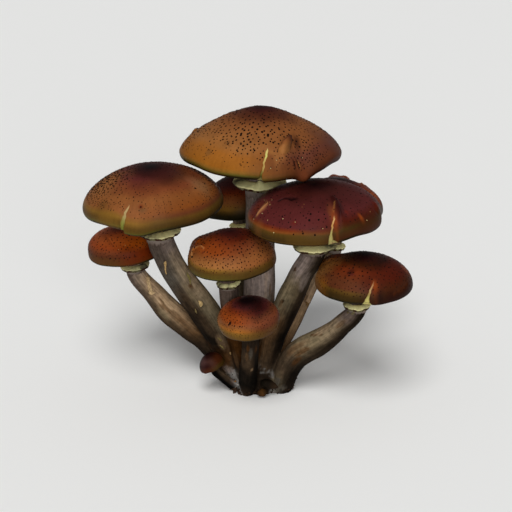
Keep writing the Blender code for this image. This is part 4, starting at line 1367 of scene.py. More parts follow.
# Stains on the stems: (distance along in mm, angle, half-length, half-width in mm, colour, strength)
STAINS = {
    "crown": [
        (52, 43, 3, 0.8, "wood", 0.6), (60, 24, 14, 0.9, "pale straw", 0.30), (47, 55, 3, 1, "wood", 0.5)],
    "left": [
        (70.7, 45, 2.6, 0.6, "olive buff", 0.8), (66.5, 31, 1.6, 0.9, "russet", 0.8),
        (58.8, -31, 1.6, 0.9, "peat", 0.9), (56.3, -36, 1.2, 0.8, "peat", 0.8),
        (62, 10, 9, 1.2, "olive buff", 0.35), (48, 25, 8, 2.2, "olive drab", 0.5),
        (32, 5, 4.5, 1.6, "straw", 0.35), (43, -5, 7, 3, "earth", 0.5)],
    "red": [
        (55.1, -33, 1.1, 0.8, "soot", 0.9), (53, -38, 2.4, 1, "russet", 0.55),
        (73.9, -52, 1.2, 0.8, "russet", 0.9), (60, -58, 9, 1.2, "olive buff", 0.45),
        (71, 21, 6, 2, "pink grey", 0.5), (23, -58, 5, 1.1, "russet", 0.7), (27, 7, 5, 0.8, "earth", 0.6),
        (17, -25, 4, 0.9, "earth", 0.6)],
    "right": [
        (42, -72, 1.4, 0.5, "russet", 0.9), (44.5, -62, 1.8, 0.45, "russet", 0.9),
        (47.5, -50, 1.2, 0.5, "russet", 0.8), (50, -75, 6, 2.2, "pale straw", 0.40),
        (33, -22, 4.5, 1.3, "russet", 0.7), (27, -2, 3.5, 1.2, "russet", 0.6), (62, -30, 4, 1.1, "wood", 0.6),
        (67, -20, 3, 0.9, "mauve drab", 0.6), (36, -50, 4, 1.5, "straw", 0.4), (30, -50, 5, 1.8, "wood", 0.6),
    ],
    "middle": [(32, 8, 9, 2.2, "russet", 0.7), (23, -31, 5, 1.4, "wood", 0.5)],
    "front": [
        (4.5, -78, 4, 2.2, "mould", 0.7), (42.7, -17, 2.4, 0.8, "russet", 0.8),
        (40.7, 41, 2.6, 0.8, "russet", 0.5), (35.7, -23, 3.2, 0.8, "wood", 0.5),
        (24.4, 19, 0.9, 0.7, "straw", 0.5), (38.5, 5, 4, 0.9, "grey drab", 0.6)],
    "low": [
        (62.7, 22, 2.4, 0.6, "wood", 0.8), (57.7, 15, 3.6, 0.8, "wood", 0.8), (50.6, 21, 5, 1.6, "wood", 0.6),
        (60, 3, 1.8, 0.7, "wood", 0.6), (56.1, -15, 4, 1.6, "olive buff", 0.5),
        (69, 30, 5, 2.2, "pale straw", 0.5), (44, 20, 5, 1.6, "russet", 0.35)],
    "rear_right": [(47, 0, 2, 0.8, "wood", 0.7), (60, 150, 5, 1.5, "russet", 0.5)],
    "rear_left": [(60, 170, 6, 1.5, "russet", 0.5), (45, 200, 3, 1, "pale straw", 0.4)],
}
LINEAR_EARTH = {key: Vector(linear(code)[:3]) for key, code in EARTH.items()}


def row_colour(row, share):
    """The colour of a row of (share, name) stops."""
    (_, first), (_, second), t = stops_beside(row, share)
    return LINEAR_EARTH[first].lerp(LINEAR_EARTH[second], t)


def flesh_colour(name, along, angle, radius):
    """The colour at a place on a stem: its painted lit and shaded rows blended round it, painted shade on its
    far side, then its stains.
    """
    bright, shade, light, dark = STEM_LOOKS[name]
    share = along / ROUTES[name][-1][4]
    wander = 0.05 * noise.noise(Vector((sin(radians(angle)) * 2, along / 9, len(name))))
    # painted light and shade: lit is how far a place faces the lighter side, and under darkens the far side
    lit = cos(radians(angle - bright)) + wander * 3
    weight = min(1.0, max(0.0, 0.3 + 0.75 * lit))
    weight = weight * weight * (3 - 2 * weight)
    under = min(1.0, max(0.0, (0.6 - lit) / 0.8))
    colour = row_colour(dark, share + wander).lerp(row_colour(light, share + wander), weight)
    colour = colour * (1 - shade * under)
    for at, middle, half_length, half_width, stain, strength in STAINS.get(name, []):
        far = abs(along - at) / half_length
        if far > 1.6:
            continue
        off = radians(apart(angle, middle)) * radius / half_width
        ragged = 0.5 * noise.noise(Vector((along * 0.9, off * 1.5, at)))
        reach = far * far + off * off + ragged
        if reach < 1.7:
            colour = colour.lerp(LINEAR_EARTH[stain], strength * min(1.0, max(0.0, (1.7 - reach) / 1.1)))
    return colour


# %% Fibrous surface of stems and foot
STEM_SIDES = 72
STEM_SUNK = 4.0  # mm that a stem reaches down into the foot's stub
FIBRE_RIDGES = 4.6  # cells of noise across a stem's radius
FIBRE_LENGTH = 24.0  # mm that a ridge runs
FIBRE_HEIGHT = 0.20
FIBRE_TWIST = 0.5  # degrees that the ridges turn in a millimetre
FIBRE_SEED = 0.37  # times a stem's fork, so that no two stems have the same ridges
LUMP_SIZE = 8.5
LUMP_HEIGHT = 0.26


def fibre_relief(point, angle, along, seed):
    """How far fibres and lumps move the surface out, in millimetres."""
    turn = radians(angle + FIBRE_TWIST * along)
    across = cos(turn) * FIBRE_RIDGES, sin(turn) * FIBRE_RIDGES
    ridge = noise.noise(Vector((*across, along / FIBRE_LENGTH + seed)))
    lump = noise.noise(point / LUMP_SIZE + Vector((0, 0, 7.0)))
    return FIBRE_HEIGHT * ridge + LUMP_HEIGHT * lump


def build_stem(name):
    """The stem from inside its stub to its seat, with a point at the lower end and a flat top."""
    cap = MUSHROOMS[name]
    seed = cap["fork"] * FIBRE_SEED
    route = [part for part in ROUTES[name] if part[4] >= cap["fork"] - STEM_SUNK]
    bm = bmesh.new()
    flesh = bm.verts.layers.float_color.new("flesh")
    fibre = bm.verts.layers.float_vector.new("fibre")

    def put(vertex, turn, k, full):
        centre, radius, front, side, along = route[k]
        angle = degrees(turn)
        out = front * cos(turn) + side * sin(turn)
        sunk = min(1.0, (along - route[0][4]) / STEM_SUNK)
        size = radius - 0.9 * (1 - sunk) ** 1.5 + fibre_relief(centre + out * radius, angle, along, seed)
        vertex.co = (centre + out * size * full) * MM
        vertex.co.z = max(0.0, vertex.co.z)
        vertex[flesh] = (*flesh_colour(name, along, angle, radius), 1.0)
        vertex[fibre] = (cap["neck"] * cos(turn), cap["neck"] * sin(turn), along)

    lay_tube(bm, STEM_SIDES, len(route), put)
    return smoothed(bm)


def stem_flesh():
    """Dry fibrous flesh: the written colour, streaked along the fibres and flecked across them."""
    material, tree, shader = new_material("fibrous stem flesh")
    flesh = node(tree, "Attribute", attribute_name="flesh").outputs["Color"]
    fibre = node(tree, "Attribute", attribute_name="fibre").outputs["Vector"]
    where = node(tree, "TexCoord").outputs["Object"]
    squeezed = node(tree, "VectorMath", {0: fibre, 1: (1.0, 1.0, 0.07)}, operation="MULTIPLY").outputs[0]
    strand = node(tree, "TexNoise", {"Vector": squeezed, "Scale": 1.6, "Detail": 5.0}).outputs["Fac"]
    cloud = node(tree, "TexNoise", {"Vector": where, "Scale": 1 / (2.2 * MM), "Detail": 5.0}).outputs["Fac"]
    fleck = node(tree, "TexNoise", {"Vector": where, "Scale": 1 / (0.7 * MM), "Detail": 2.0}).outputs["Fac"]
    streak = node(
        tree, "MapRange", {"Value": strand, "From Min": 0.28, "From Max": 0.72, "To Min": 0.66,
               "To Max": 1.34}
    ).outputs["Result"]
    patch = node(
        tree, "MapRange", {"Value": cloud, "From Min": 0.32, "From Max": 0.68, "To Min": 0.74, "To Max": 1.26}
    ).outputs["Result"]
    tone = node(tree, "Math", {0: streak, 1: patch}, operation="MULTIPLY").outputs[0]
    shade = node(tree, "CombineXYZ", {"X": tone, "Y": tone, "Z": tone}).outputs[0]
    base = node(tree, "VectorMath", {0: flesh, 1: shade}, operation="MULTIPLY").outputs[0]
    dark = node(
        tree, "MapRange", {"Value": fleck, "From Min": 0.66, "From Max": 0.76, "To Max": 0.5}
    ).outputs["Result"]
    colour = node(
        tree, "Mix", {FACTOR: dark, FIRST: base, SECOND: linear("#2a1a0e")}, data_type="RGBA"
    ).outputs[MIXED]
    bump = node(tree, "Bump", {"Height": strand, "Strength": 0.6, "Distance": 0.35 * MM}).outputs["Normal"]
    bump = node(
        tree, "Bump", {"Height": fleck, "Strength": 0.3, "Distance": 0.15 * MM, "Normal": bump}
    ).outputs["Normal"]
    feed(tree, shader, {"Base Color": colour, "Roughness": 0.8, "Normal": bump, "Specular IOR Level": 0.02})
    return material


flesh_material = stem_flesh()
for name in MUSHROOMS:
    hand_in(f"stem_{name}_flesh", build_stem(name), [flesh_material], "stem", f"stem_{name}")

# %% [markdown]
# ## Rings
# A ring is what is left of the veil that closed the young cap. It is a soft double membrane, cream to
# yellow-green above, with a torn edge and red-brown scraps below, and it runs down the stem as a thin sleeve.

# %% Ring meshes
RING_COLUMNS = 176
# Noise cells across a ring for its pleats, its fine frills, its tears and the tatters of its sleeve
PLEATS, FRILLS, TEARS, TATTERS = 5.5, 17.0, 8.0, 6.0
SLEEVE_START, SLEEVE_SPAN = 0.85, 0.15  # the part of the veil that is its sleeve
TOOTH_RING = "crown"  # its veil still has a scrap that stands up under the crack
TOOTH_HEIGHT = 2.6
TOOTH_START, TOOTH_SPAN = 0.02, 0.14  # the part of the veil that the scrap rises from
TOOTH_WIDTH = 11.0  # half of it, in degrees
SKIRT_FALL = 0.30  # how far the rim hangs below the ring's top, as a share of the ring's height
RING_LOOKS = {
    # wave, tear, sleeve and raise in mm, and (angle, half-width, extra reach) of torn tongues
    # painted shade: how much all round, then (angle, half-width, more) on the shaded flanks
    "crown": dict(
        wave=0.45, tear=0.9, sleeve=3.6, up=0, tongues=[(-3, 6, 1.2), (28, 9, -0.8), (-38, 8, -0.6)],
        painted_shade=(0, [(-78, 26, 0.9), (64, 24, 0.3)])),
    "left": dict(
        wave=0.40, tear=1, sleeve=2.6, up=0, tongues=[(-50, 12, -0.9), (10, 9, 0.5), (60, 10, -0.7)],
        painted_shade=(0.22, [(-52, 50, 1), (70, 14, 0.4)])),
    "red": dict(
        wave=0.45, tear=0.9, sleeve=1.8, up=0, tongues=[(30, 10, 0.7), (-30, 9, -0.6), (66, 16, 1.6)],
        painted_shade=(0.12, [(-75, 26, 0.6), (62, 34, 0.75)])),
    "right": dict(
        wave=0.35, tear=0.6, sleeve=1.5, up=0.4, tongues=[(5, 9, 1), (-50, 10, -0.5)],
        painted_shade=(0.22, [(-70, 34, 0.6), (60, 25, 0.3)])),
    "middle": dict(
        wave=0.45, tear=0.9, sleeve=0.8, up=1.2, tongues=[(-40, 9, 0.7), (35, 9, 0.6), (0, 7, -0.8)],
        painted_shade=(0.45, [(-60, 30, 0.5), (5, 10, 0.5)])),
    "low": dict(
        wave=0.35, tear=0.8, sleeve=1.8, up=1.3, tongues=[(-30, 12, 0.5), (40, 10, -0.5)],
        painted_shade=(0.6, [(40, 45, 0.35)])),
    "rear_left": dict(
        wave=0.40, tear=0.7, sleeve=1.8, up=0, tongues=[(160, 10, 0.8), (-120, 9, -0.6)],
        painted_shade=(0.1, [(90, 40, 0.5)])),
    "rear_right": dict(
        wave=0.40, tear=0.7, sleeve=1.8, up=0, tongues=[(120, 10, 0.8), (-30, 9, 0.5), (180, 9, -0.6)],
        painted_shade=(0.1, [(-90, 40, 0.5)])),
}


def ring_profile(cap, sleeve):
    """[(radius, height, veil)] round one side of the ring: down the skirt to its lip, in under it to a
    second, greyer lip, and down the sleeve. veil runs from 0 on top to 1 on the sleeve."""
    drop, radius, height = cap["ring"]
    inner = cap["neck"] - 0.25
    width = radius - inner
    waist = inner + 0.45 * width
    fall = SKIRT_FALL * height
    return [
        (inner, -drop + 0.3, 0.0), (inner + 0.25 * width, -drop - 0.05 * fall, 0.05),
        (inner + 0.5 * width, -drop - 0.28 * fall, 0.1), (inner + 0.75 * width, -drop - 0.62 * fall, 0.15),
        (radius - 0.45, -drop - 0.92 * fall, 0.2), (radius - 0.1, -drop - fall - 0.1, 0.28),
        (radius - 0.05, -drop - fall - 0.5, 0.34), (radius - 0.5, -drop - fall - 0.85, 0.42),
        (radius - 0.45, -drop - fall - 1.4, 0.5), (radius - 0.95, -drop - fall - 1.9, 0.58),
        (waist + 0.3 * width, -drop - max(fall + 1.8, 0.6 * height), 0.64),
        (waist, -drop - max(fall + 1.9, 0.75 * height), 0.7),
        (inner + 0.75, -drop - max(fall + 2.0, 0.9 * height), 0.78),
        (inner + 0.58, -drop - max(fall + 2.2, height), 0.84),
        (inner + 0.52, -drop - height - 0.6 * sleeve, 0.92),
        (inner + 0.36, -drop - height - sleeve, 1.0), (inner, -drop - height - sleeve, 1.0),
    ]


def build_ring(name):
    """The veil of a mushroom: its profile swept round, then pleated, torn, given painted shade and tattered by
    angle.
    """
    cap = MUSHROOMS[name]
    look = RING_LOOKS[name]
    wave, tear, sleeve = look["wave"], look["tear"], look["sleeve"]
    everywhere, flanks = look["painted_shade"]
    profile = ring_profile(cap, sleeve)
    rows = len(profile)
    inner, outer = profile[0][0], cap["ring"][1]
    matrix = cap_matrix(cap)
    seed = cap["radius"]
    bm = bmesh.new()
    veil_of = bm.verts.layers.float.new("veil")
    painted_shade_of = bm.verts.layers.float.new("painted_shade")

    def put(vertex, i, j):
        radius, height, veil = profile[j % rows]
        height += look["up"]
        angle = 360.0 * (i % RING_COLUMNS) / RING_COLUMNS
        turn = radians(angle)
        round_about = Vector((cos(turn), sin(turn), 0.0))
        reach = max(0.0, (radius - inner) / (outer - inner))
        pleat = noise.noise(round_about * PLEATS + Vector((0, 0, seed)))
        fine = noise.noise(round_about * FRILLS + Vector((0, 0, seed)))
        tearing = -tear * max(0.0, noise.noise(round_about * TEARS + Vector((3, 0, seed)))) - 0.25 * abs(fine)
        for middle, half_width, more in look["tongues"]:
            tearing += more * exp(-((apart(angle, middle) / half_width) ** 2))
        tooth = (veil - TOOTH_START) / TOOTH_SPAN
        if name == TOOTH_RING and 0 < tooth < 1:
            height += TOOTH_HEIGHT * exp(-((apart(angle, 0) / TOOTH_WIDTH) ** 2)) * sin(pi * tooth)
        radius += tearing * reach**2
        height += wave * (pleat + 0.25 * fine) * reach**1.5
        if veil > SLEEVE_START:
            tatter = noise.noise(round_about * TATTERS + Vector((9, 0, seed))) + 0.4 * fine
            height -= 0.6 * sleeve * tatter * (veil - SLEEVE_START) / SLEEVE_SPAN
            radius += 0.06 * fine
        turned = Vector((radius * sin(turn), -radius * cos(turn), height))
        vertex.co = matrix @ turned
        vertex[veil_of] = veil
        # painted shade: some all round and more on the shaded flanks, fading out on the sleeve
        shade_amount = sum(more * exp(-((apart(angle, middle) / wide) ** 2)) for middle, wide, more in flanks)
        clean = min(1.0, max(0.0, (SLEEVE_START - veil) / SLEEVE_SPAN))  # grime fades out on the sleeve
        vertex[painted_shade_of] = min(1.0, everywhere + shade_amount) * clean

    lay_sheet(bm, RING_COLUMNS, rows, put)
    return smoothed(bm)


def veil_membrane():
    """Soft cream membrane that greys down the sleeve, with red-brown scraps of the coat below its edge, and
    painted shade on its flanks and under its lips.
    """
    material, tree, shader = new_material("soft veil membrane")
    veil = node(tree, "Attribute", attribute_name="veil").outputs["Fac"]
    where = node(tree, "TexCoord").outputs["Object"]
    cloud = node(tree, "TexNoise", {"Vector": where, "Scale": 1 / (2.6 * MM), "Detail": 4.0}).outputs["Fac"]
    grain = node(tree, "TexNoise", {"Vector": where, "Scale": 1 / (0.6 * MM), "Detail": 3.0}).outputs["Fac"]
    shift = node(tree, "Math", {0: cloud, 1: 0.12, 2: -0.06}, operation="MULTIPLY_ADD").outputs[0]
    place = node(tree, "Math", {0: veil, 1: shift}, operation="ADD").outputs[0]
    # painted light and shade: the cream top is lighter than the veil itself, to make up for the cap's shadow,
    # and the dark bands at 0.41 and 0.60, under the two lips, are painted shade
    stops = [
        (0.0, "#f0eaa6"), (0.30, "#f6f0b2"), (0.36, "#d6cc92"), (0.41, "#4a3a22"), (0.46, "#6a6246"),
        (0.54, "#8a8460"), (0.60, "#3c2c1c"), (0.70, "#5a5344"), (0.80, "#7d7066"), (0.9, "#70645c"),
        (1.0, "#4f4038"),
    ]
    base = node(tree, "ValToRGB", {0: place}, [(at, linear(code)) for at, code in stops]).outputs[0]
    # painted shade on the shaded flanks, and red-brown scraps of the coat under the lips
    painted_shade = node(tree, "Attribute", attribute_name="painted_shade").outputs["Fac"]
    patchy = node(
        tree, "MapRange", {"Value": cloud, "From Min": 0.35, "From Max": 0.6, "To Min": 0.65, "To Max": 1.1}
    ).outputs["Result"]
    shade_amount = node(tree, "Math", {0: painted_shade, 1: patchy}, operation="MULTIPLY", use_clamp=True).outputs[0]
    base = node(
        tree, "Mix", {FACTOR: shade_amount, FIRST: base, SECOND: linear("#454233")}, data_type="RGBA"
    ).outputs[MIXED]
    under = node(tree, "MapRange", {"Value": veil, "From Min": 0.33, "From Max": 0.38}).outputs["Result"]
    above = node(
        tree, "MapRange", {"Value": veil, "From Min": 0.60, "From Max": 0.72, "To Min": 1.0, "To Max": 0.0}
    ).outputs["Result"]
    spots = node(tree, "MapRange", {"Value": cloud, "From Min": 0.48, "From Max": 0.52}).outputs["Result"]
    band = node(tree, "Math", {0: under, 1: above}, operation="MULTIPLY").outputs[0]
    scrap = node(tree, "Math", {0: band, 1: spots}, operation="MULTIPLY").outputs[0]
    colour = node(
        tree, "Mix", {FACTOR: scrap, FIRST: base, SECOND: linear("#331a10")}, data_type="RGBA"
    ).outputs[MIXED]
    bump = node(tree, "Bump", {"Height": grain, "Strength": 0.5, "Distance": 0.2 * MM}).outputs["Normal"]
    feed(tree, shader, {"Base Color": colour, "Roughness": 0.8, "Normal": bump, "Specular IOR Level": 0.05})
    return material


membrane = veil_membrane()
for name in RING_LOOKS:
    hand_in(f"ring_{name}_veil", build_ring(name), [membrane], "ring", f"ring_{name}")

# %% [markdown]
# ## The foot
# Below their forks the stems are one body, dark partly with soil and damp and partly with the stems' painted
# shade, with pale mould in its folds. It is modelled as clay would be: rods and a lump pushed together, their
# joints smoothed, then cut off flat with a wire. The rods follow the same lines as the stems above, so the
# fibres and colours run on.

# %% Foot mesh
FOOT_OUTLINE = [
    (0, 17), (6.5, 16), (11, 12.5), (13.6, 8), (14, 4), (12.9, 0.8), (12.5, -3), (0, -3),
]
FOOT_CENTRE = Vector((-0.3, 0.5, 0.0))
FOOT_STRETCH = (1.0, 1.06)
FOOT_LUMPS = ((3, 0.7, 0.045), (5, 2.1, 0.03))  # (waves round, phase, share of the radius)
VOXEL = 0.55  # mm, the size of the grid on which the clay is joined
STUB_SIDES = 40
STUB_OVERLAP = 2.6  # mm that a rod runs on inside its stem, tapering
BLEND = 0.7  # mm outside a stem over which its colour fades
LUMP_WEIGHT = 0.12  # of the lump's own dark colour
EARTHY_HEIGHT, EARTHY_SIZE, EARTHY_TOP = 0.35, 2.2, 14  # mm: bumps of soil that fade out up the foot
SMOOTHING_LOSS = 0.10  # mm that smoothing took off
MOULD = [
    # (place in mm, reach, colour, strength)
    ((-13.2, -5.6, 7.4), 4.2, "mould", 1), ((-11.7, -8.7, 4), 3.2, "mould", 0.9),
    ((-16.3, -5.7, 10.2), 3, "pink grey", 0.8), ((-1, -7.8, 8.9), 2.4, "mould", 0.7),
    ((0.8, -9.5, 9.9), 3.3, "mould", 1), ((3, -9.3, 9.6), 3, "mould", 0.9),
    ((2, -10.2, 7.8), 2.8, "mould", 0.85), ((6, -9.6, 9.2), 2.6, "dark mould", 0.8),
    ((9, -12.8, 7.2), 2.4, "grey drab", 0.8), ((11.5, -13, 4), 2.4, "grey drab", 0.5),
    ((4, 14, 6), 4, "mould", 0.5), ((-9, 12, 3.5), 3.5, "grey drab", 0.6), ((12.5, 6, 5), 3, "russet", 0.6),
    ((-13, -10, 1.2), 2, "wood", 0.8),
]


def lay_rod(bm, name):
    """The lowest stretch of a stem as a closed rod that tapers off inside the stem above it."""
    fork = MUSHROOMS[name]["fork"]
    route = [part for part in ROUTES[name] if part[4] <= fork + STUB_OVERLAP]

    def put(vertex, turn, k, full):
        centre, radius, front, side, along = route[k]
        taper = max(0.0, (along - fork + 1.0) / (STUB_OVERLAP + 1.0))
        size = full * (radius - 1.3 * taper**1.3)
        vertex.co = (centre + (front * cos(turn) + side * sin(turn)) * size) * MM

    lay_tube(bm, STUB_SIDES, len(route), put)


def nearest_stems(point):
    """{stem: (gap to its surface in millimetres, its nearest section)} for a point of the foot."""
    found = {}
    for name, route in ROUTES.items():
        fork = MUSHROOMS[name]["fork"]
        lowest = route[: int(fork / ROUTE_STEP) + 4]
        best = min(lowest, key=lambda part: (part[0] - point).length - part[1])
        found[name] = ((best[0] - point).length - best[1], best)
    return found


def angle_on(section, point):
    """The angle round a stem's section at which a point lies."""
    centre, _, front, side, _ = section
    out = point - centre
    return degrees(atan2(out.dot(side), out.dot(front)))


def joined_clay():
    """The lump and the rods as one closed body, its joints smoothed."""
    bm = bmesh.new()
    line = [bm.verts.new((x * MM, 0, z * MM)) for x, z in FOOT_OUTLINE]
    edges = [bm.edges.new(pair) for pair in zip(line, line[1:])]
    bmesh.ops.spin(
        bm, geom=line + edges, cent=(0, 0, 0), axis=(0, 0, 1), dvec=(0, 0, 0),
        angle=tau, steps=96, use_merge=True, use_duplicate=False,
    )
    bmesh.ops.remove_doubles(bm, verts=bm.verts, dist=1e-6)
    for vertex in bm.verts:
        around = atan2(vertex.co.y, vertex.co.x)
        swell = 1 + sum(size * sin(waves * around + phase) for waves, phase, size in FOOT_LUMPS)
        x, y, z = vertex.co
        vertex.co = Vector((x * swell * FOOT_STRETCH[0], y * swell * FOOT_STRETCH[1], z))
        vertex.co += FOOT_CENTRE * MM
    for name in MUSHROOMS:
        lay_rod(bm, name)
    bmesh.ops.recalc_face_normals(bm, faces=bm.faces)
    rough = bpy.data.meshes.new("pushed together")
    bm.to_mesh(rough)
    bm.free()
    clay = bpy.data.objects.new("pushed together", rough)
    bpy.context.scene.collection.objects.link(clay)
    remesh = clay.modifiers.new("one body", "REMESH")
    remesh.mode = "VOXEL"
    remesh.voxel_size = VOXEL * MM
    evaluated = clay.evaluated_get(bpy.context.evaluated_depsgraph_get())
    bm = bmesh.new()
    bm.from_mesh(evaluated.to_mesh())
    bpy.data.objects.remove(clay)
    bpy.data.meshes.remove(rough)
    bmesh.ops.smooth_vert(bm, verts=bm.verts, factor=0.5, use_axis_x=True, use_axis_y=True, use_axis_z=True)
    bm.normal_update()
    return bm


# %% The foot's colours and its cut
def foot_colour(point, near):
    """The colours of the stems near a point of the foot, blended, with mould over them."""
    total = Vector((0, 0, 0))
    weights = 0.0
    for name, (gap, section) in near.items():
        weight = exp(-max(0.0, gap) / BLEND)
        if weight < 0.02:
            continue
        total += flesh_colour(name, section[4], angle_on(section, point), section[1]) * weight
        weights += weight
    total += LINEAR_EARTH["peat"] * LUMP_WEIGHT
    colour = total / (weights + LUMP_WEIGHT)
    for place, reach, stain, strength in MOULD:
        far = (point - Vector(place)).length / reach + 0.5 * noise.noise(point / 1.6)
        if far < 1.0:
            colour = colour.lerp(LINEAR_EARTH[stain], strength * min(1.0, (1.0 - far) * 2))
    return colour


def cut_flat(bm):
    """Cuts away what lies below the ground and closes the cut."""
    cut = bmesh.ops.bisect_plane(
        bm, geom=[*bm.verts, *bm.edges, *bm.faces], plane_co=(0, 0, 0), plane_no=(0, 0, -1), clear_outer=True
    )
    rim = [part for part in cut["geom_cut"] if isinstance(part, bmesh.types.BMEdge)]
    filled = bmesh.ops.holes_fill(bm, edges=rim, sides=0)["faces"]
    bmesh.ops.triangulate(bm, faces=filled)


def build_foot():
    """The joined clay with the stems' colours and fibres carried on over it, cut off flat."""
    bm = joined_clay()
    flesh = bm.verts.layers.float_color.new("flesh")
    fibre = bm.verts.layers.float_vector.new("fibre")
    for vertex in bm.verts:
        point = vertex.co / MM
        near = nearest_stems(point)
        closest = min(near, key=lambda key: near[key][0])
        section = near[closest][1]
        angle, along = angle_on(section, point), section[4]
        turn = radians(angle)
        neck = MUSHROOMS[closest]["neck"]
        vertex[flesh] = (*foot_colour(point, near), 1.0)
        vertex[fibre] = (neck * cos(turn), neck * sin(turn), along)
        relief = fibre_relief(point, angle, along, MUSHROOMS[closest]["fork"] * FIBRE_SEED)
        relief += EARTHY_HEIGHT * noise.noise(point / EARTHY_SIZE) * max(0.0, 1 - point.z / EARTHY_TOP)
        vertex.co += vertex.normal * (relief + SMOOTHING_LOSS) * MM
    cut_flat(bm)
    for face in bm.faces:
        face.smooth = abs(face.normal.z) < 0.999 or face.calc_center_median().z > 0.2 * MM
    bmesh.ops.recalc_face_normals(bm, faces=bm.faces)
    return bm


hand_in("foot_flesh", build_foot(), [flesh_material], "foot", "foot")

# %% [markdown]
# ## Buds, peeled strips and crumbs
# Two buds never opened and dried against the foot. Strips of the stems' outer fibres have peeled and curled,
# and crumbs of soil and bark cling round the cut.

# %% Bud meshes
BUDS = {
    # centre, half-sizes, tilt to the right, colours from the left end to the right
    "bud_dark": ((4.4, -16.6, 7.2), (4.4, 2.6, 2.5), 18, ("#0e0a05", "#130d07", "#2a1e13")),
    "bud_pale": ((1.4, -17.3, 3), (2.9, 2.2, 2), -14, ("#2a190a", "#40280f", "#1b1107")),
}
BUD_COLLAR = 0.42  # where the cap meets the stub of a stem, from -1 at the left end to 1


def build_bud(name):
    """A wrinkled egg with a collar and the stub of a stem at its right end."""
    centre, half, tilt, _ = BUDS[name]
    bm = bmesh.new()
    bmesh.ops.create_uvsphere(bm, u_segments=64, v_segments=40, radius=1.0)
    bmesh.ops.rotate(bm, verts=bm.verts, cent=(0, 0, 0), matrix=Matrix.Rotation(pi / 2, 3, "Y"))
    place_of = bm.verts.layers.float_vector.new("place")
    turn = Matrix.Rotation(radians(tilt), 3, "Y")
    for vertex in bm.verts:
        unit = vertex.co.copy()
        vertex[place_of] = unit
        wrinkle = 0.05 * noise.noise(Vector((unit.x * 1.2, unit.y * 5, unit.z * 5)))
        wrinkle += 0.07 * noise.noise(unit * 1.7 + Vector(centre))
        collar = -0.14 * exp(-(((unit.x - BUD_COLLAR) / 0.10) ** 2))
        stub = -0.16 * max(0.0, min(1.0, (unit.x - BUD_COLLAR) / 0.15))
        squeeze = 1 + wrinkle + collar + stub
        x, y, z = (size * part for size, part in zip(half, unit))
        shaped = Vector((x * (1 + wrinkle), y * squeeze, z * squeeze))
        vertex.co = (turn @ shaped + Vector(centre)) * MM
    return smoothed(bm)


def bud_skin(name, colours):
    """Dull dry skin whose colour runs from the bud's left end to its right."""
    material, tree, shader = new_material(f"dull bud skin, {name}")
    place = node(tree, "Attribute", attribute_name="place").outputs["Vector"]
    grain = node(tree, "TexNoise", {"Vector": place, "Scale": 6.0, "Detail": 4.0}).outputs["Fac"]
    end = node(tree, "SeparateXYZ", {0: place}).outputs["X"]
    mixed = node(tree, "Math", {0: grain, 1: 0.7, 2: -0.35}, operation="MULTIPLY_ADD").outputs[0]
    moved = node(tree, "Math", {0: end, 1: mixed}, operation="ADD").outputs[0]
    run = node(tree, "MapRange", {"Value": moved, "From Min": -1.0, "From Max": 1.0}).outputs["Result"]
    stops = [(0.1, linear(colours[0])), (0.5, linear(colours[1])), (0.85, linear(colours[2]))]
    ramp = node(tree, "ValToRGB", {0: run}, stops).outputs[0]
    bump = node(tree, "Bump", {"Height": grain, "Strength": 0.4, "Distance": 0.3 * MM}).outputs["Normal"]
    feed(tree, shader, {"Base Color": ramp, "Roughness": 0.7, "Normal": bump, "Specular IOR Level": 0.03})
    return material


for name, (_, _, _, colours) in BUDS.items():
    hand_in(f"{name}_skin", build_bud(name), [bud_skin(name, colours)], "bud", name)

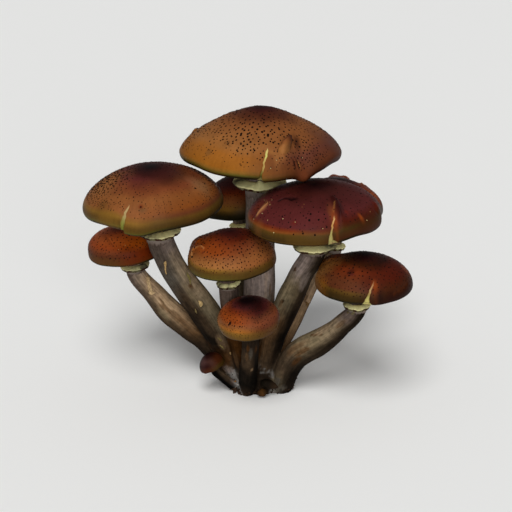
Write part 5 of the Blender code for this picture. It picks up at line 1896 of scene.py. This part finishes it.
# %% Peeled strips and flakes on the stems
STRIPS = [
    # stem, colour, then (distance along, angle, half-width, lift in mm) from end to end
    (
        "low", "#b89c74",
        [
            (75.8, 56, 0.6, 0.6), (74.8, 48, 0.95, 1), (72, 30, 0.90, 1), (69.5, 16, 0.9, 0.9),
            (68.4, 9, 1.1, 0.9), (67.9, 14, 0.8, 1.1), (67.5, 24, 0.35, 0.9)]),
    (
        "left", "#a48659",
        [
            (84.8, -3, 0.3, 0.4), (84, -8, 0.8, 0.8), (82.4, -13, 0.45, 0.6), (80, -22, 0.4, 0.5),
            (78, -28, 0.3, 0.3)]),
    (
        "left", "#7d7142",
        [
            (73.2, 52, 0.2, 0.2), (71.6, 47, 0.55, 0.4), (69.8, 43, 0.6, 0.5), (68.4, 38, 0.4, 0.4),
            (67.4, 33, 0.2, 0.1)]),
    ("left", "#a98f62", [(58.2, 19, 0.2, 0.3), (57.2, 20, 0.9, 0.8), (56, 17, 1, 1), (54.8, 12, 0.3, 0.5)]),
    ("left", "#6b5c3a", [(55.4, -10, 0.15, 0.2), (54, -13, 0.4, 0.4), (52.4, -16, 0.15, 0.2)]),
    ("left", "#9a7a50", [(24, 22, 0.2, 0.3), (23.2, 24, 0.7, 0.7), (22.4, 27, 0.3, 0.3)]),
    ("left", "#6f6038", [(34.6, 3, 0.15, 0.2), (33.2, 8, 0.45, 0.4), (31.6, 10, 0.2, 0.2)]),
    ("left", "#6f6038", [(30.2, -4, 0.15, 0.2), (28.6, 2, 0.4, 0.35), (27, 4, 0.15, 0.2)]),
    ("tiny", "#8a6238", [(5.6, 62, 0.2, 0.3), (5, 78, 0.6, 0.6), (4.6, 92, 0.25, 0.4)]),
    ("right", "#6d6247", [(72.6, -14, 0.2, 0.2), (71.6, -22, 0.6, 0.5), (70.8, -34, 0.3, 0.3)]),
    ("right", "#5d503a", [(70.8, -46, 0.2, 0.2), (70.2, -54, 0.6, 0.5), (69.6, -60, 0.3, 0.3)]),
    ("rear_right", "#6b5133", [(45.5, 10, 0.4, 0.4), (44.5, 26, 0.9, 0.9), (43.6, 38, 0.5, 0.6)]),
    (
        "crown", "#7a6a55",
        [(66, 160, 0.2, 0.2), (62, 165, 0.5, 0.5), (57, 168, 0.5, 0.6), (54, 172, 0.2, 0.3)]),
    ("rear_left", "#7a6a48", [(58, 150, 0.2, 0.2), (54, 155, 0.5, 0.6), (50, 160, 0.2, 0.3)]),
    ("red", "#6f6350", [(60, 150, 0.2, 0.2), (56, 146, 0.6, 0.6), (52, 140, 0.2, 0.2)]),
]
STRIP_SIDES = 10
STRIP_STEPS = 6
STRIP_THICKNESS = 0.16  # mm, half of it
STRIP_NARROWEST = 0.06


def on_stem(name, along, angle, lift):
    """A point above a stem's surface in millimetres, with the surface normal there."""
    route = ROUTES[name]
    for low, high in zip(route, route[1:]):
        if high[4] >= along:
            t = (along - low[4]) / max(1e-6, high[4] - low[4])
            centre, front, side = (low[k].lerp(high[k], t) for k in (0, 2, 3))
            radius = low[1] + (high[1] - low[1]) * t
            break
    turn = radians(angle)
    out = (front * cos(turn) + side * sin(turn)).normalized()
    return centre + out * (radius + lift), out


def lay_strip(bm, stem, stations):
    """A thin curled strip through its stations, smoothed between them."""
    path = smooth_path(stations, STRIP_STEPS)
    count = len(path)

    def middle(k):
        along, angle, _, lift = path[min(count - 1, max(0, k))]
        return on_stem(stem, along, angle, lift)

    def put(vertex, turn, k, full):
        here, out = middle(k)
        across = (middle(k + 1)[0] - middle(k - 1)[0]).normalized().cross(out)
        half_width = path[k][2]
        ragged = 1 + 0.35 * noise.noise(here * 2.3)
        curl = 0.35 * half_width * abs(cos(turn)) ** 2
        place = here + across * (max(STRIP_NARROWEST, half_width) * ragged * cos(turn) * full)
        vertex.co = (place + out * (STRIP_THICKNESS * sin(turn) * full + curl * full)) * MM

    lay_tube(bm, STRIP_SIDES, count, put)


def dry_fibre(name, code):
    """Dry fibre or soil of one colour, cloudy from grain to grain."""
    material, tree, shader = new_material(name)
    where = node(tree, "TexCoord").outputs["Object"]
    grain = node(tree, "TexNoise", {"Vector": where, "Scale": 1 / (0.9 * MM), "Detail": 3.0}).outputs["Fac"]
    tone = node(
        tree, "MapRange", {"Value": grain, "From Min": 0.3, "From Max": 0.7, "To Min": 0.55, "To Max": 1.2}
    ).outputs["Result"]
    shade = node(tree, "CombineXYZ", {"X": tone, "Y": tone, "Z": tone}).outputs[0]
    colour = node(tree, "VectorMath", {0: linear(code)[:3], 1: shade}, operation="MULTIPLY").outputs[0]
    feed(tree, shader, {"Base Color": colour, "Roughness": 0.8, "Specular IOR Level": 0.03})
    return material


strip_groups = {}
for stem, code, stations in STRIPS:
    strip_groups.setdefault((stem, code), []).append(stations)
for index, ((stem, code), groups) in enumerate(strip_groups.items()):
    bm = bmesh.new()
    for stations in groups:
        lay_strip(bm, stem, stations)
    hand_in(f"stem_{stem}_peel_{index}", smoothed(bm), [dry_fibre(f"dry peeled fibre {code}", code)], "stem")

# %% Crumbs of soil and bark
CRUMBS = 150
CRUMB_SIZES = (0.25, 0.85)
CRUMB_TOP = 9.0  # mm above the ground that the highest crumb clings
HIGH_CRUMB = 4  # mm above the ground past which only small crumbs cling
BARK_SHARE = 0.3
THROW = 40  # mm from the middle, where a crumb starts on its way to the foot
CRUMB_LOOKS = {"soil": dry_fibre("crumbled soil", "#2a1d12"), "bark": dry_fibre("rotten bark", "#31231a")}
# Single bits of bark: (x, y, z, size) in mm
SCRAPS = [
    (-12.6, -11, 1.4, 1.5), (-13.8, -9, 2.4, 1.3), (-10.4, -12.2, 0.9, 1.1), (-14.6, -8, 1, 1.2),
    (8.6, -15.2, 5, 1), (-8.2, -13.4, 0.6, 0.9),
]


def lay_crumb(bm, place, size, chance):
    """Adds one lumpy crumb, which stays above the ground."""
    made = bmesh.ops.create_icosphere(bm, subdivisions=2, radius=1.0)["verts"]
    shape = Vector((chance.uniform(0.7, 1.4), chance.uniform(0.6, 1.1), chance.uniform(0.5, 0.9)))
    turn = Euler((chance.uniform(0, 3), chance.uniform(0, 3), chance.uniform(0, 3))).to_matrix()
    shift = Vector((chance.uniform(0, 50), 0, 0))
    for vertex in made:
        lumpy = vertex.co * (1 + 0.45 * noise.noise(vertex.co * 1.3 + shift))
        vertex.co = (turn @ Vector(a * b for a, b in zip(lumpy, shape)) * size + place) * MM
        vertex.co.z = max(0.0, vertex.co.z)


foot_tree = BVHTree.FromObject(bpy.data.objects["foot_flesh"], bpy.context.evaluated_depsgraph_get())
chance = random.Random(11)
piles = {kind: bmesh.new() for kind in CRUMB_LOOKS}
for k in range(CRUMBS):
    around = chance.uniform(0, tau)
    height = chance.uniform(0.2, 1.0) ** 2 * CRUMB_TOP
    start = Vector((THROW * sin(around), -THROW * cos(around), height))
    hit, normal, _, _ = foot_tree.ray_cast(start * MM, (Vector((0, 0, height)) - start).normalized())
    if hit is None:
        continue
    size = chance.uniform(*CRUMB_SIZES) * (0.6 if height > HIGH_CRUMB else 1.0)
    kind = "bark" if chance.random() < BARK_SHARE else "soil"
    lay_crumb(piles[kind], hit / MM + normal * size * 0.25, size, chance)
for x, y, z, size in SCRAPS:
    lay_crumb(piles["bark"], Vector((x, y, z)), size, chance)
for kind, bm in piles.items():
    hand_in(f"foot_crumbs_{kind}", smoothed(bm), [CRUMB_LOOKS[kind]], "foot")
